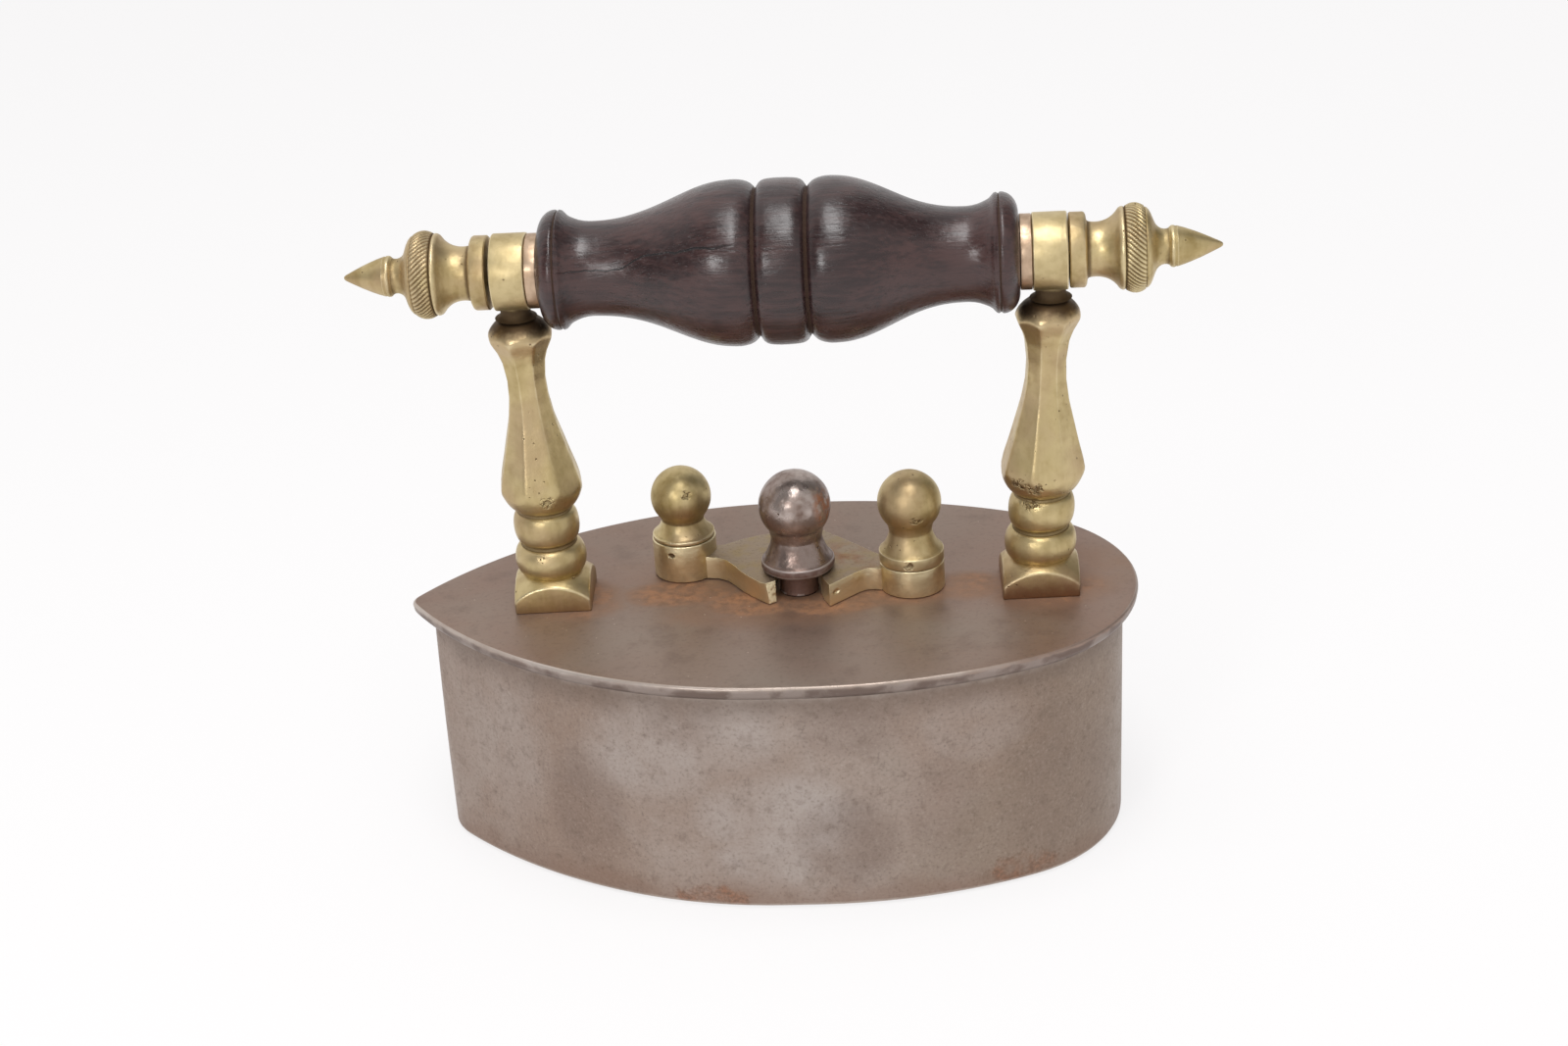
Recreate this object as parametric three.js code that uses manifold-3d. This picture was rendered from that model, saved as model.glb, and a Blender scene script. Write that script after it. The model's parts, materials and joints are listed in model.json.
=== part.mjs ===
// Antique slug iron: a steel box with a lift-off lid, which holds a hot cast iron slug.
// Millimetres, +Z up. The origin is on the floor under the axis of the lock knob.
// The nose points along -X and the heel along +X.
import * as THREE from 'three';
import { mergeVertices } from 'three/addons/utils/BufferGeometryUtils.js';
import Module from 'manifold-3d';

const wasm = await Module();
wasm.setup();

// Places along the lid, from the lock knob's axis outwards
const pivotX = 27.2;
const heelPillarSpan = 30.1;     // from the pivot to the heel pillar
const heelPillarInset = 23.5;    // from there to the lid's heel
const thumbOffset = 29.6;        // to the thumb boss when the latch is closed
const nosePillarSpan = 29.3;     // from the thumb boss to the nose pillar
const nosePillarInset = 35.3;    // from there to the tip of the lid

// Outline of the lid
const lidWidth = 99.8;
const noseArcRadius = 107;
const noseTipRadius = 4;
const parallelLength = 8;
const heelArcDrop = 7.9;         // the heel's arc radius is this much less than half the width

// Lid plate and the rim that centres it
const lidThickness = 3.9;
const lidEdgeRound = 0.4;
const lidEdgeUndercut = 2;
const lidEdgeShares = [[1, 0], [0.5, 0.18], [0.12, 0.48]];   // of the undercut and the thickness
const rimHeight = 3.6;
const rimThickness = 2.5;
const rimClearance = 0.5;
const rimTipRadius = 1;

// Box
const wallThickness = 3;
const wallLift = 0.6;            // the sole stands proud of the wall by this much
const wallEdgeRound = 0.9;
const overhangTop = 3.7;
const overhangBottom = 4.7;
const boxTipRadius = 3;
const boxInnerTipRadius = 1.5;
const soleThickness = 8;
const seatGap = 0.3;             // between pieces that are brazed, screwed or set together
const lidSeatGap = 0.2;

// Heating slug and its rests
const slugThickness = 25;
const slugHeadroom = 7.4;        // from the slug to the locking bar
const slugClearance = 4;
const slugTipRadius = 5;
const slugEdgeRound = 2.2;
const hookHoleRadius = 7;
const hookHoleInset = 34.8;      // from the lid's heel
const restHeight = 3;
const restWidth = 6;
const noseRestInset = 64.2;      // from the lid's nose
const noseRestLength = 44;
const heelRestInset = 44.8;      // from the lid's heel
const heelRestLength = 60;

// Lock: knob, stem, bar and catch lugs
const lockBallRadius = 8.6;
const lockBallRise = 8;          // from the top of the neck's cove to the ball's centre
const lockNeckRadius = 6.1;
const lockNeckRise = 5.7;        // from the flange to the top of the cove
const lockFlangeRadius = 8.75;
const lockFlangeGap = 0.3;       // over the latch plate
const lockFlangeRim = 2.3;
const lockFlangeBevel = 0.6;
const lockStemRadius = 4.6;
const lockCollarStep = 0.2;
const lockCollarHeight = 1;
const lockShaftRadius = 4.2;
const lockShaftClearance = 0.35;
const lockSquare = 5.8;
const lockRivetRadius = 4.7;
const lockRivetHeight = 1.3;
const barTipGap = 1.35;          // from the bar's ends to the wall when it is turned across
const barWidth = 9;
const barThickness = 5.5;
const barEndRound = 2.5;
const lugHeight = 4.2;
const lugLength = 18;
const lugDepth = 3.4;
const lugRimGap = 0.6;           // under the locating rim

// Latch
const latchOpenAngle = 12.3;     // degrees, as photographed
const latchLift = 0.3;
const latchThickness = 5.6;
const bossRadius = 7.7;
const pivotBossRise = 1.2;       // above the latch plate
const thumbBossRise = 3.8;
const slotInnerGap = 0.5;        // from the stem to the slot's wall on the pivot's side
const slotOuterGap = 1.4;
const slotStemGap = 0.3;
const latchBackBulge = 15.4;
const latchBackShares = [[0.62, 0.44], [1, 0.8], [1.34, 1]];   // of the slot's inner radius and the bulge
const latchShoulderShare = 0.56;                               // of the bulge, halfway from slot to boss
const thumbNeckBack = 3.2;
const thumbNeckFront = 4.5;
const pivotNeckBack = 3.7;
const pivotNeckFront = 4.2;
const neckStartShare = 0.6;                                    // of the boss radius
const neckEndShare = 1.15;
const thumbNeckEndShare = 1.45;
const thumbHornReach = 16.6;
const thumbHornSkew = 1;         // the horn's outer corner lies this far behind its tip
const thumbHornSideShare = 0.68;
const pivotHornReach = 14.4;
const pivotHornShares = [[0.62, 0.66], [0.5, 0.38]];           // of the slot's inner radius and the reach
const hornUndercut = 1.3;
const bossRound = 0.5;

// Brass knobs of the latch
const brassNeckRadius = 5.1;
const pivotBallRadius = 7.6;
const pivotBallRise = 7.2;
const pivotNeckRise = 5;
const pivotFlangeRadius = 7.75;
const pivotFlangeRim = 2.7;
const thumbBallRadius = 7.3;
const thumbBallRise = 5.8;
const thumbNeckRise = 3.6;
const thumbFlangeRadius = 7.5;
const thumbFlangeRim = 0.8;
const thumbShankRadius = 2.6;
const knobSeatGap = 0.2;

// Pivot stud, and its washer and nut under the lid
const pivotStudRadius = 3;
const pivotRunningGap = 0.4;
const pivotBoreDepth = 9;
const pivotWasherRadius = 6.5;
const pivotWasherThickness = 1;
const pivotNutWidth = 9;
const pivotNutThickness = 4;
const threadEnd = 1;             // thread showing past a nut

// Pillars. Each rise is measured from the middle of the form below.
const footWidth = 18.2;
const footDomeRadius = 16;
const footDomeDrop = 6.66;       // centre of the dome's sphere below the lid's top
const footNeckRadius = 5.6;
const cushionRadius = 8.55;
const cushionRise = 10.1;
const cushionHalf = 3.7;
const ringRadius = 7.75;
const ringRise = 7.6;
const ringHalf = 3.9;
const bulbFootRise = 4.3;
const bulbFootRadius = 6.2;
const bulbRise = 7;
const bulbRadius = 9.6;
const bulbBowlShares = [[0.5, 0.16], [0.8, 0.5]];   // of the way out and up from the bulb's foot
const bulbShoulderShare = 1.12;  // where the bowl's curve would leave the flats
const waistRise = 28.2;
const waistRadius = 4.45;
const waistFallShare = 0.92;     // under 1 the waist narrows sooner
const waistFlareShare = 1.25;    // over 1 it flares later
const crownRise = 11.3;
const crownOverlap = 0.55;       // how far the crown reaches under the grip's end
const crownFlatShare = 1.06;
const crownFlareShare = 1.3;
const crownLipShare = 0.22;      // of the dome's height, below its widest level
const crownDomeShares = [[1, 0], [0.9, 0.35], [0.75, 0.7]];   // of its radius and the dome's height
const domeRise = 4;
const domeTopRadius = 3.7;
const tenonRadius = 3.2;
const tenonClearance = 0.3;
const pillarWasherRadius = 7.5;
const pillarWasherThickness = 1.2;
const pillarNutWidth = 11;
const pillarNutThickness = 5;

// Handle
const gripLength = 109.4;
const gripPillarGap = 1;         // from the grip's flange down to the pillar's crown
const gripFlangeRadius = 14;
const gripFlangeWidth = 5.2;
const gripFlangeStep = 0.6;
const gripTaperShare = 0.38;     // of the step from neck to flange, halfway between them
const gripNeckRadius = 10.85;
const gripNeckInset = 6.5;       // from the flange
const gripSwellShare = 1.2;      // over 1 the neck swells later into the belly
const gripBellyRadius = 19;
const gripBellyAt = 12.5;
const gripShoulderDrop = 0.25;
const gripLipDrop = 0.75;
const gripGrooveAt = 6.6;
const gripGrooveDepth = 1.2;     // below the lips at its edges
const gripGrooveHalf = 1.1;
const gripEdgeRound = 1.6;
const gripBoreGap = 0.4;         // round the rod
const copperWasherRadius = 8.65;
const copperWasherWidth = 2.7;
const washerGap = 0.1;
const eyeRadius = 8.9;
const eyeWidth = 8;
const eyeChamfer = 0.5;
const eyeNeckLength = 2.1;
const eyeNeckRadius = 3.4;
const eyeShankRadius = 2.8;
const eyeShankLength = 8.5;
const rodRadius = 3.2;
const rodClearance = 0.3;
const rodInFinial = 12.4;

// Finials, measured outwards from the eye
const finialGapNose = 1;
const finialGapHeel = 0.3;
const finialFlangeRadius = 8.6;
const finialFlangeWidth = 4;
const finialFlangeChamfer = 0.9;
const finialWaistRadius = 6.4;
const finialWaistLength = 7.2;
const finialRingRadius = 9.7;
const finialRingShoulder = 1.4;
const finialRingShoulderDrop = 1;
const finialKnurlWidth = 5.2;
const finialSpindleRadius = 4;
const finialSpindleLength = 3.6;
const finialSpindleShares = [[1.15, 0.12], [1, 0.35], [1, 0.9]];         // of its radius and length
const finialBeadRadius = 4.6;
const finialBeadWidth = 1.7;
const finialPointLength = 10.2;
const finialPointRadius = 0.5;
const finialPointShares = [[0.86, 0.22], [0.62, 0.5], [0.34, 0.8]];      // of the bead's radius and the point

const overrun = 1;               // how far a cutting shape passes what it cuts

// Outline and levels of the box and lid, which follow from the sizes above
const nosePillarX = -thumbOffset - nosePillarSpan;
const heelPillarX = pivotX + heelPillarSpan;
const noseReach = nosePillarInset - nosePillarX;
const heelReach = heelPillarX + heelPillarInset;
const halfWidth = lidWidth / 2;
const sideCentreY = halfWidth - noseArcRadius;
const noseSpan = noseArcRadius - noseTipRadius;
const noseArcX = -noseReach + noseTipRadius + Math.sqrt(noseSpan ** 2 - sideCentreY ** 2);
const rearArcX = noseArcX + parallelLength;
const heelArcRadius = halfWidth - heelArcDrop;
const heelArcX = heelReach - heelArcRadius;
const rearRun = heelArcX - rearArcX;
const rearArcRadius = (rearRun ** 2 + halfWidth ** 2 - heelArcRadius ** 2) / (2 * heelArcDrop);
const restTop = soleThickness + restHeight;
const slugTop = restTop + slugThickness;
const barBottom = slugTop + slugHeadroom;
const barTop = barBottom + barThickness;
const lugBottom = barTop + seatGap;
const lugTop = lugBottom + lugHeight;
const rimBottom = lugTop + lugRimGap;
const lidBottom = rimBottom + rimHeight;
const lidTop = lidBottom + lidThickness;
const wallTop = lidBottom - lidSeatGap;

// Lock and latch, with levels above the lid
const lockCollarRadius = lockStemRadius + lockCollarStep;
const latchTop = latchLift + latchThickness;
const lockFlangeBottom = latchTop + lockFlangeGap;
const latchReach = pivotX + thumbOffset;
const slotInnerRadius = pivotX - lockStemRadius - slotInnerGap;
const slotOuterRadius = pivotX + lockStemRadius + slotOuterGap;

// Handle and pillars, with levels above the lid
const gripHalf = gripLength / 2;
const washerInner = gripHalf + washerGap;
const eyeInner = washerInner + copperWasherWidth + washerGap;
const eyeX = eyeInner + eyeWidth / 2;
const eyeOuter = eyeInner + eyeWidth;
const ringLevel = cushionRise + ringRise;
const bulbFootLevel = ringLevel + bulbFootRise;
const bulbLevel = bulbFootLevel + bulbRise;
const waistLevel = bulbLevel + waistRise;
const crownLevel = waistLevel + crownRise;
const domeTopLevel = crownLevel + domeRise;
const crownRadius = eyeX - gripHalf + crownOverlap;
const gripLevel = crownLevel + gripPillarGap + gripFlangeRadius;
const eyeLevel = domeTopLevel + eyeNeckLength + eyeRadius;
const handleHeight = lidTop + Math.max(gripLevel, eyeLevel);

const roundSteps = 24;
const smallSteps = 16;
const finialSteps = 20;
const finialWaistSteps = 5;
const octagonSides = 8;

const brass = { color: 0xa98d4f, metalness: 0.9, roughness: 0.38 };
const steel = { color: 0x8a7a70, metalness: 0.8, roughness: 0.5 };
const rustySteel = { color: 0x7d685c, metalness: 0.7, roughness: 0.6 };
const castIron = { color: 0x4a4644, metalness: 0.6, roughness: 0.8 };
const copper = { color: 0xa9714f, metalness: 0.9, roughness: 0.4 };
const darkWood = { color: 0x4a3230, metalness: 0, roughness: 0.35 };

const iron = new THREE.Group();

// A closed surface without normals or doubles becomes a solid.
function toSolid(geometry) {
  geometry.deleteAttribute('normal');
  geometry.deleteAttribute('uv');
  const merged = mergeVertices(geometry);
  const index = merged.index.array;
  const triangles = [];
  for (let i = 0; i < index.length; i += 3) {
    const [a, b, c] = [index[i], index[i + 1], index[i + 2]];
    if (a !== b && b !== c && c !== a) triangles.push(a, b, c);
  }
  const vertProperties = new Float32Array(merged.attributes.position.array);
  const triVerts = new Uint32Array(triangles);
  return new wasm.Manifold(new wasm.Mesh({ numProp: 3, vertProperties, triVerts }));
}

// Adds a solid to the iron as a named mesh.
function addPiece(name, solid, finish) {
  const { vertProperties, triVerts } = solid.getMesh();
  const geometry = new THREE.BufferGeometry();
  geometry.setAttribute('position', new THREE.BufferAttribute(new Float32Array(vertProperties), 3));
  geometry.setIndex(new THREE.BufferAttribute(new Uint32Array(triVerts), 1));
  geometry.computeVertexNormals();
  const mesh = new THREE.Mesh(geometry, new THREE.MeshStandardMaterial(finish));
  mesh.name = name;
  iron.add(mesh);
}

// A turned solid about +Z. The profile runs upwards as [radius, height] pairs.
function turned(profile, steps = roundSteps, startAngle = 0) {
  const points = profile.map(([radius, height]) => new THREE.Vector2(radius, height));
  const geometry = new THREE.LatheGeometry(points, steps, startAngle);
  geometry.rotateX(Math.PI / 2);
  return toSolid(geometry);
}

// The same solid laid along +X, or along -X where side is -1.
function turnedAlongX(profile, side = 1, steps = roundSteps) {
  const points = profile.map(([radius, height]) => new THREE.Vector2(radius, height));
  const geometry = new THREE.LatheGeometry(points, steps);
  geometry.rotateZ(-side * Math.PI / 2);
  return toSolid(geometry);
}

function cylinder(radius, bottom, top, steps = smallSteps) {
  return turned([[0, bottom], [radius, bottom], [radius, top], [0, top]], steps);
}

function box(width, depth, bottom, top) {
  const geometry = new THREE.BoxGeometry(width, depth, top - bottom);
  geometry.translate(0, 0, (top + bottom) / 2);
  return toSolid(geometry);
}

// Points of an arc, from one angle to another, without its last point.
function arc(centreX, centreY, radius, from, to, steps) {
  const points = [];
  for (let i = 0; i < steps; i++) {
    const angle = from + ((to - from) * i) / steps;
    points.push([centreX + radius * Math.cos(angle), centreY + radius * Math.sin(angle)]);
  }
  return points;
}

// The iron's outline drawn in by a distance: rounded nose, two side arcs, round heel.
function ironOutline(inset, tipRadius) {
  const noseRadius = noseArcRadius - inset;
  const rearRadius = rearArcRadius - inset;
  const heelRadius = heelArcRadius - inset;
  const tipX = noseArcX - Math.sqrt((noseRadius - tipRadius) ** 2 - sideCentreY ** 2);
  const tipAngle = Math.atan2(-sideCentreY, tipX - noseArcX);
  const rearCentreY = halfWidth - rearArcRadius;
  const heelAngle = Math.atan2(-rearCentreY, heelArcX - rearArcX);
  const half = [
    ...arc(tipX, 0, tipRadius, Math.PI, tipAngle, 3),
    ...arc(noseArcX, sideCentreY, noseRadius, tipAngle, Math.PI / 2, 12),
    ...arc(rearArcX, rearCentreY, rearRadius, Math.PI / 2, heelAngle, 7),
    ...arc(heelArcX, 0, heelRadius, heelAngle, 0, 9),
    [heelArcX + heelRadius, 0],
  ];
  const mirrored = half.slice(1, -1).reverse().map(([x, y]) => [x, -y]);
  return [...half, ...mirrored].reverse();
}

// A solid skinned over rings of [outline, height], closed at both ends or round on itself.
function skinned(rings, ringClosed = false) {
  const count = rings[0].outline.length;
  const positions = [];
  for (const { outline, height } of rings) {
    for (const [x, y] of outline) positions.push(x, y, height);
  }
  const index = [];
  const bands = ringClosed ? rings.length : rings.length - 1;
  for (let band = 0; band < bands; band++) {
    const low = band * count;
    const high = ((band + 1) % rings.length) * count;
    for (let i = 0; i < count; i++) {
      const next = (i + 1) % count;
      index.push(low + i, low + next, high + next, low + i, high + next, high + i);
    }
  }
  if (!ringClosed) {
    const bottom = rings[0].outline.map(([x, y]) => new THREE.Vector2(x, y));
    const top = rings.at(-1).outline.map(([x, y]) => new THREE.Vector2(x, y));
    const last = (rings.length - 1) * count;
    for (const [a, b, c] of THREE.ShapeUtils.triangulateShape(bottom, [])) index.push(a, c, b);
    for (const [a, b, c] of THREE.ShapeUtils.triangulateShape(top, [])) index.push(last + a, last + b, last + c);
  }
  const geometry = new THREE.BufferGeometry();
  geometry.setAttribute('position', new THREE.Float32BufferAttribute(positions, 3));
  geometry.setIndex(index);
  return toSolid(geometry);
}

// Distance from the lid's outline to the outside of the wall at a height.
function wallInset(height) {
  return overhangBottom + (overhangTop - overhangBottom) * (height / wallTop);
}

function ring(inset, tipRadius, height) {
  return { outline: ironOutline(inset, tipRadius), height };
}

// Box

function addSolePlate() {
  const inset = wallInset(0) + wallThickness + seatGap;
  const rings = [ring(inset, boxInnerTipRadius, 0), ring(inset, boxInnerTipRadius, soleThickness)];
  addPiece('sole_plate', skinned(rings), steel);
}

function addBoxWall() {
  const outer = (height, extra = 0) => ring(wallInset(height) + extra, boxTipRadius, height);
  const inner = (height) => ring(wallInset(height) + wallThickness, boxInnerTipRadius, height);
  const roundTop = wallLift + wallEdgeRound;
  const rings = [outer(wallLift, wallEdgeRound), outer(roundTop), outer(wallTop), inner(wallTop), inner(wallLift)];
  addPiece('box_wall', skinned(rings, true), rustySteel);
}

function addCatchLugs() {
  const back = wallInset(lugBottom) + wallThickness + seatGap;
  const inside = skinned([ring(back, boxInnerTipRadius, lugBottom), ring(back, boxInnerTipRadius, lugTop)]);
  const front = halfWidth - back - lugDepth;
  for (const [name, side] of [['catch_lug_near', -1], ['catch_lug_far', 1]]) {
    const block = box(lugLength, halfWidth, lugBottom, lugTop).translate([0, side * (front + halfWidth / 2), 0]);
    addPiece(name, inside.intersect(block), steel);
  }
}

function addSlugRests() {
  const rests = [
    ['slug_rest_nose', noseRestInset - noseReach, noseRestLength],
    ['slug_rest_heel', heelReach - heelRestInset, heelRestLength],
  ];
  for (const [name, x, length] of rests) {
    addPiece(name, box(restWidth, length, soleThickness, restTop).translate([x, 0, 0]), steel);
  }
}

// Slug

function addHeatingSlug() {
  const inset = wallInset(0) + wallThickness + slugClearance;
  const rings = [
    ring(inset + slugEdgeRound, slugTipRadius, restTop),
    ring(inset, slugTipRadius, restTop + slugEdgeRound),
    ring(inset, slugTipRadius, slugTop - slugEdgeRound),
    ring(inset + slugEdgeRound, slugTipRadius, slugTop),
  ];
  const hole = cylinder(hookHoleRadius, restTop - overrun, slugTop + overrun, roundSteps);
  const drilled = skinned(rings).subtract(hole.translate([heelReach - hookHoleInset, 0, 0]));
  addPiece('heating_slug', drilled, castIron);
}

// Lid

function addLidPlate() {
  const undercutRings = lidEdgeShares.map(([undercutShare, heightShare]) =>
    ring(lidEdgeUndercut * undercutShare, noseTipRadius, lidBottom + lidThickness * heightShare));
  const topRings = [ring(0, noseTipRadius, lidTop - lidEdgeRound), ring(lidEdgeRound, noseTipRadius, lidTop)];
  let plate = skinned([...undercutRings, ...topRings]);
  const holes = [
    [0, lockShaftRadius + lockShaftClearance],
    [pivotX, pivotStudRadius + tenonClearance],
    [nosePillarX, tenonRadius + tenonClearance],
    [heelPillarX, tenonRadius + tenonClearance],
  ];
  for (const [x, radius] of holes) {
    const drill = cylinder(radius, lidBottom - overrun, lidTop + overrun);
    plate = plate.subtract(drill.translate([x, 0, 0]));
  }
  addPiece('lid_plate', plate, rustySteel);
}

function addLocatingRim() {
  const outer = wallInset(rimBottom) + wallThickness + rimClearance;
  const inner = outer + rimThickness;
  const rings = [
    ring(outer, rimTipRadius, rimBottom),
    ring(outer, rimTipRadius, lidBottom),
    ring(inner, rimTipRadius, lidBottom),
    ring(inner, rimTipRadius, rimBottom),
  ];
  addPiece('lid_locating_rim', skinned(rings, true), steel);
}

// Moves what stands on the lid sideways in step with its height, so that it leans.
function leaned(solid, lean) {
  const rate = lean / (handleHeight - lidTop);
  return solid.warp((point) => {
    point[0] += rate * Math.max(point[2] - lidTop, 0);
  });
}

// A half ellipse in section, standing out of a turned neck.
function bead(middle, half, neckRadius, radius, steps = 6) {
  const points = [];
  for (let i = 0; i <= steps; i++) {
    const angle = Math.PI * (i / steps - 0.5);
    points.push([neckRadius + (radius - neckRadius) * Math.cos(angle), middle + half * Math.sin(angle)]);
  }
  return points;
}

// A smooth run from one radius to another, level at both ends.
function sweep(fromHeight, fromRadius, toHeight, toRadius, steps, lean = 1) {
  const points = [];
  for (let i = 1; i < steps; i++) {
    const share = i / steps;
    const blend = (1 - Math.cos(Math.PI * share ** lean)) / 2;
    points.push([fromRadius + (toRadius - fromRadius) * blend, fromHeight + (toHeight - fromHeight) * share]);
  }
  return points;
}

function pillarSolid() {
  const at = (level) => lidTop + level;
  // the lathe-turned form: rings, bowl of the bulb and domed top
  const roundProfile = [
    [0, at(cushionRise) - cushionHalf - overrun],
    ...bead(at(cushionRise), cushionHalf, footNeckRadius, cushionRadius),
    ...bead(at(ringLevel), ringHalf, footNeckRadius, ringRadius),
    [bulbFootRadius, at(bulbFootLevel)],
    ...bulbBowlShares.map(([outShare, upShare]) => [
      bulbFootRadius + (bulbRadius - bulbFootRadius) * outShare,
      at(bulbFootLevel) + bulbRise * upShare,
    ]),
    [bulbRadius * bulbShoulderShare, at(bulbLevel)],
    [bulbRadius * bulbShoulderShare, at(waistLevel)],
    [crownRadius * crownFlareShare, at(waistLevel)],
    [crownRadius * crownFlareShare, at(crownLevel) - domeRise],
    [crownRadius, at(crownLevel) - domeRise * crownLipShare],
    ...crownDomeShares.map(([radiusShare, riseShare]) => [
      crownRadius * radiusShare,
      at(crownLevel) + domeRise * riseShare,
    ]),
    [domeTopRadius, at(domeTopLevel)],
    [0, at(domeTopLevel)],
  ];
  // the eight flats, which are planed along a bulb and a waist
  const flatScale = 1 / Math.cos(Math.PI / octagonSides);
  const flatProfile = [
    [0, at(0)],
    [bulbRadius, at(0)],
    [bulbRadius, at(bulbLevel)],
    ...sweep(at(bulbLevel), bulbRadius, at(waistLevel), waistRadius, 9, waistFallShare),
    [waistRadius, at(waistLevel)],
    ...sweep(at(waistLevel), waistRadius, at(crownLevel), crownRadius * crownFlatShare, 6, waistFlareShare),
    [crownRadius * crownFlareShare, at(crownLevel)],
    [crownRadius * crownFlareShare, at(domeTopLevel) + overrun],
    [0, at(domeTopLevel) + overrun],
  ].map(([radius, height]) => [radius * flatScale, height]);
  const shaft = turned(roundProfile).intersect(turned(flatProfile, octagonSides, Math.PI / octagonSides));
  // the square foot, whose top is turned to a dome
  const domeCentre = lidTop - footDomeDrop;
  const dome = turned([
    [0, lidTop],
    [Math.sqrt(footDomeRadius ** 2 - footDomeDrop ** 2), lidTop],
    ...arc(0, domeCentre, footDomeRadius, Math.asin(footDomeDrop / footDomeRadius), Math.PI / 2, 7).slice(1),
    [0, domeCentre + footDomeRadius],
  ]);
  const foot = dome.intersect(box(footWidth, footWidth, lidTop, lidTop + footDomeRadius));
  return shaft.add(foot);
}

function addPillars() {
  const shared = pillarSolid();
  const nutTop = lidBottom - pillarWasherThickness;
  const nutBottom = nutTop - pillarNutThickness;
  for (const [end, x, side] of [['nose', nosePillarX, -1], ['heel', heelPillarX, 1]]) {
    const lean = side * eyeX - x;
    const tenon = cylinder(tenonRadius, nutBottom - threadEnd, lidTop + overrun);
    const socketBottom = lidTop + domeTopLevel - eyeShankLength - seatGap;
    const socket = cylinder(eyeShankRadius + seatGap, socketBottom, lidTop + domeTopLevel + overrun);
    const pillar = leaned(shared, lean).add(tenon).translate([x, 0, 0]);
    addPiece(`pillar_${end}`, pillar.subtract(socket.translate([side * eyeX, 0, 0])), brass);

    const bore = cylinder(tenonRadius + tenonClearance, nutBottom - overrun, lidBottom + overrun);
    const washer = cylinder(pillarWasherRadius, nutTop, lidBottom).subtract(bore);
    const nut = box(pillarNutWidth, pillarNutWidth, nutBottom, nutTop).subtract(bore);
    addPiece(`pillar_washer_${end}`, washer.translate([x, 0, 0]), steel);
    addPiece(`pillar_nut_${end}`, nut.translate([x, 0, 0]), steel);
  }
}

// Latch

// A knob above its flange: a cove drawn in to the neck, and a ball. The flange's top is above the lid.
function knobProfile({ flangeTop, flangeRadius, neckRise, neckRadius, ballRise, ballRadius }) {
  const coveSteps = 5;
  const ballSteps = 8;
  const neckTop = flangeTop + neckRise;
  const ballCentre = neckTop + ballRise;
  const points = [];
  for (let i = 1; i <= coveSteps; i++) {
    const angle = (Math.PI / 2) * (i / coveSteps);
    const radius = flangeRadius - (flangeRadius - neckRadius) * Math.sin(angle);
    points.push([radius, flangeTop + neckRise * (1 - Math.cos(angle))]);
  }
  // the neck meets the ball on a circle, or the cove runs straight into it
  const join = -Math.acos(neckRadius / ballRadius);
  const joinBelow = ballRadius * Math.sin(-join);
  if (joinBelow < ballRise) points.push([neckRadius, ballCentre - joinBelow]);
  const low = joinBelow < ballRise ? join : -Math.asin(ballRise / ballRadius);
  for (let i = 1; i < ballSteps; i++) {
    const angle = low + (Math.PI / 2 - low) * (i / ballSteps);
    points.push([ballRadius * Math.cos(angle), ballCentre + ballRadius * Math.sin(angle)]);
  }
  points.push([0, ballCentre + ballRadius]);
  return points.map(([radius, level]) => [radius, lidTop + level]);
}

// Outline of the latch between its bosses, pivot at the origin, closed position.
function latchOutline(undercut) {
  const slotMiddle = (slotInnerRadius + slotOuterRadius) / 2;
  const slotHalf = (slotOuterRadius - slotInnerRadius) / 2;
  const stemOff = Math.abs(slotMiddle - pivotX);
  const slotEndY = slotStemGap + lockCollarRadius - Math.sqrt(slotHalf ** 2 - stemOff ** 2);
  const endAngle = Math.PI - Math.asin(slotEndY / slotMiddle);
  const outerTip = Math.PI + Math.asin(thumbHornReach / slotOuterRadius);
  const innerTip = Math.PI + Math.asin(pivotHornReach / slotInnerRadius);
  const curve = (points, steps) =>
    new THREE.SplineCurve(points.map(([x, y]) => new THREE.Vector2(x, y)))
      .getPoints(steps)
      .map(({ x, y }) => [x, y]);
  const back = curve([
    [-bossRadius * neckStartShare, pivotNeckBack],
    [-bossRadius * neckEndShare, pivotNeckBack],
    ...latchBackShares.map(([xShare, yShare]) => [-slotInnerRadius * xShare, latchBackBulge * yShare]),
    [-(latchReach + slotMiddle) / 2, latchBackBulge * latchShoulderShare],
    [-latchReach + bossRadius * neckEndShare, thumbNeckBack],
    [-latchReach + bossRadius * neckStartShare, thumbNeckBack],
  ], 20);
  const thumbHorn = curve([
    [-latchReach + bossRadius * neckStartShare, -thumbNeckFront],
    [-latchReach + bossRadius * thumbNeckEndShare, -thumbNeckFront],
    [-slotOuterRadius - slotHalf, -thumbHornReach * thumbHornSideShare + undercut / 2],
    [-slotOuterRadius + undercut / 2, -thumbHornReach + thumbHornSkew + undercut / 2],
  ], 8);
  const pivotHorn = curve([
    [slotInnerRadius * Math.cos(innerTip), -pivotHornReach],
    ...pivotHornShares.map(([xShare, yShare]) => [-slotInnerRadius * xShare, -pivotHornReach * yShare]),
    [-bossRadius * neckEndShare, -pivotNeckFront],
    [-bossRadius * neckStartShare, -pivotNeckFront],
  ], 9);
  const slotEndX = slotMiddle * Math.cos(endAngle);
  return [
    ...back,
    ...thumbHorn,
    ...arc(0, 0, slotOuterRadius, outerTip, endAngle, 5),
    ...arc(slotEndX, slotEndY, slotHalf, endAngle, endAngle - Math.PI, 10),
    ...arc(0, 0, slotInnerRadius, endAngle, innerTip, 4),
    ...pivotHorn,
  ];
}

function latchPlaced(solid) {
  return solid.rotate([0, 0, -latchOpenAngle]).translate([pivotX, 0, 0]);
}

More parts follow.
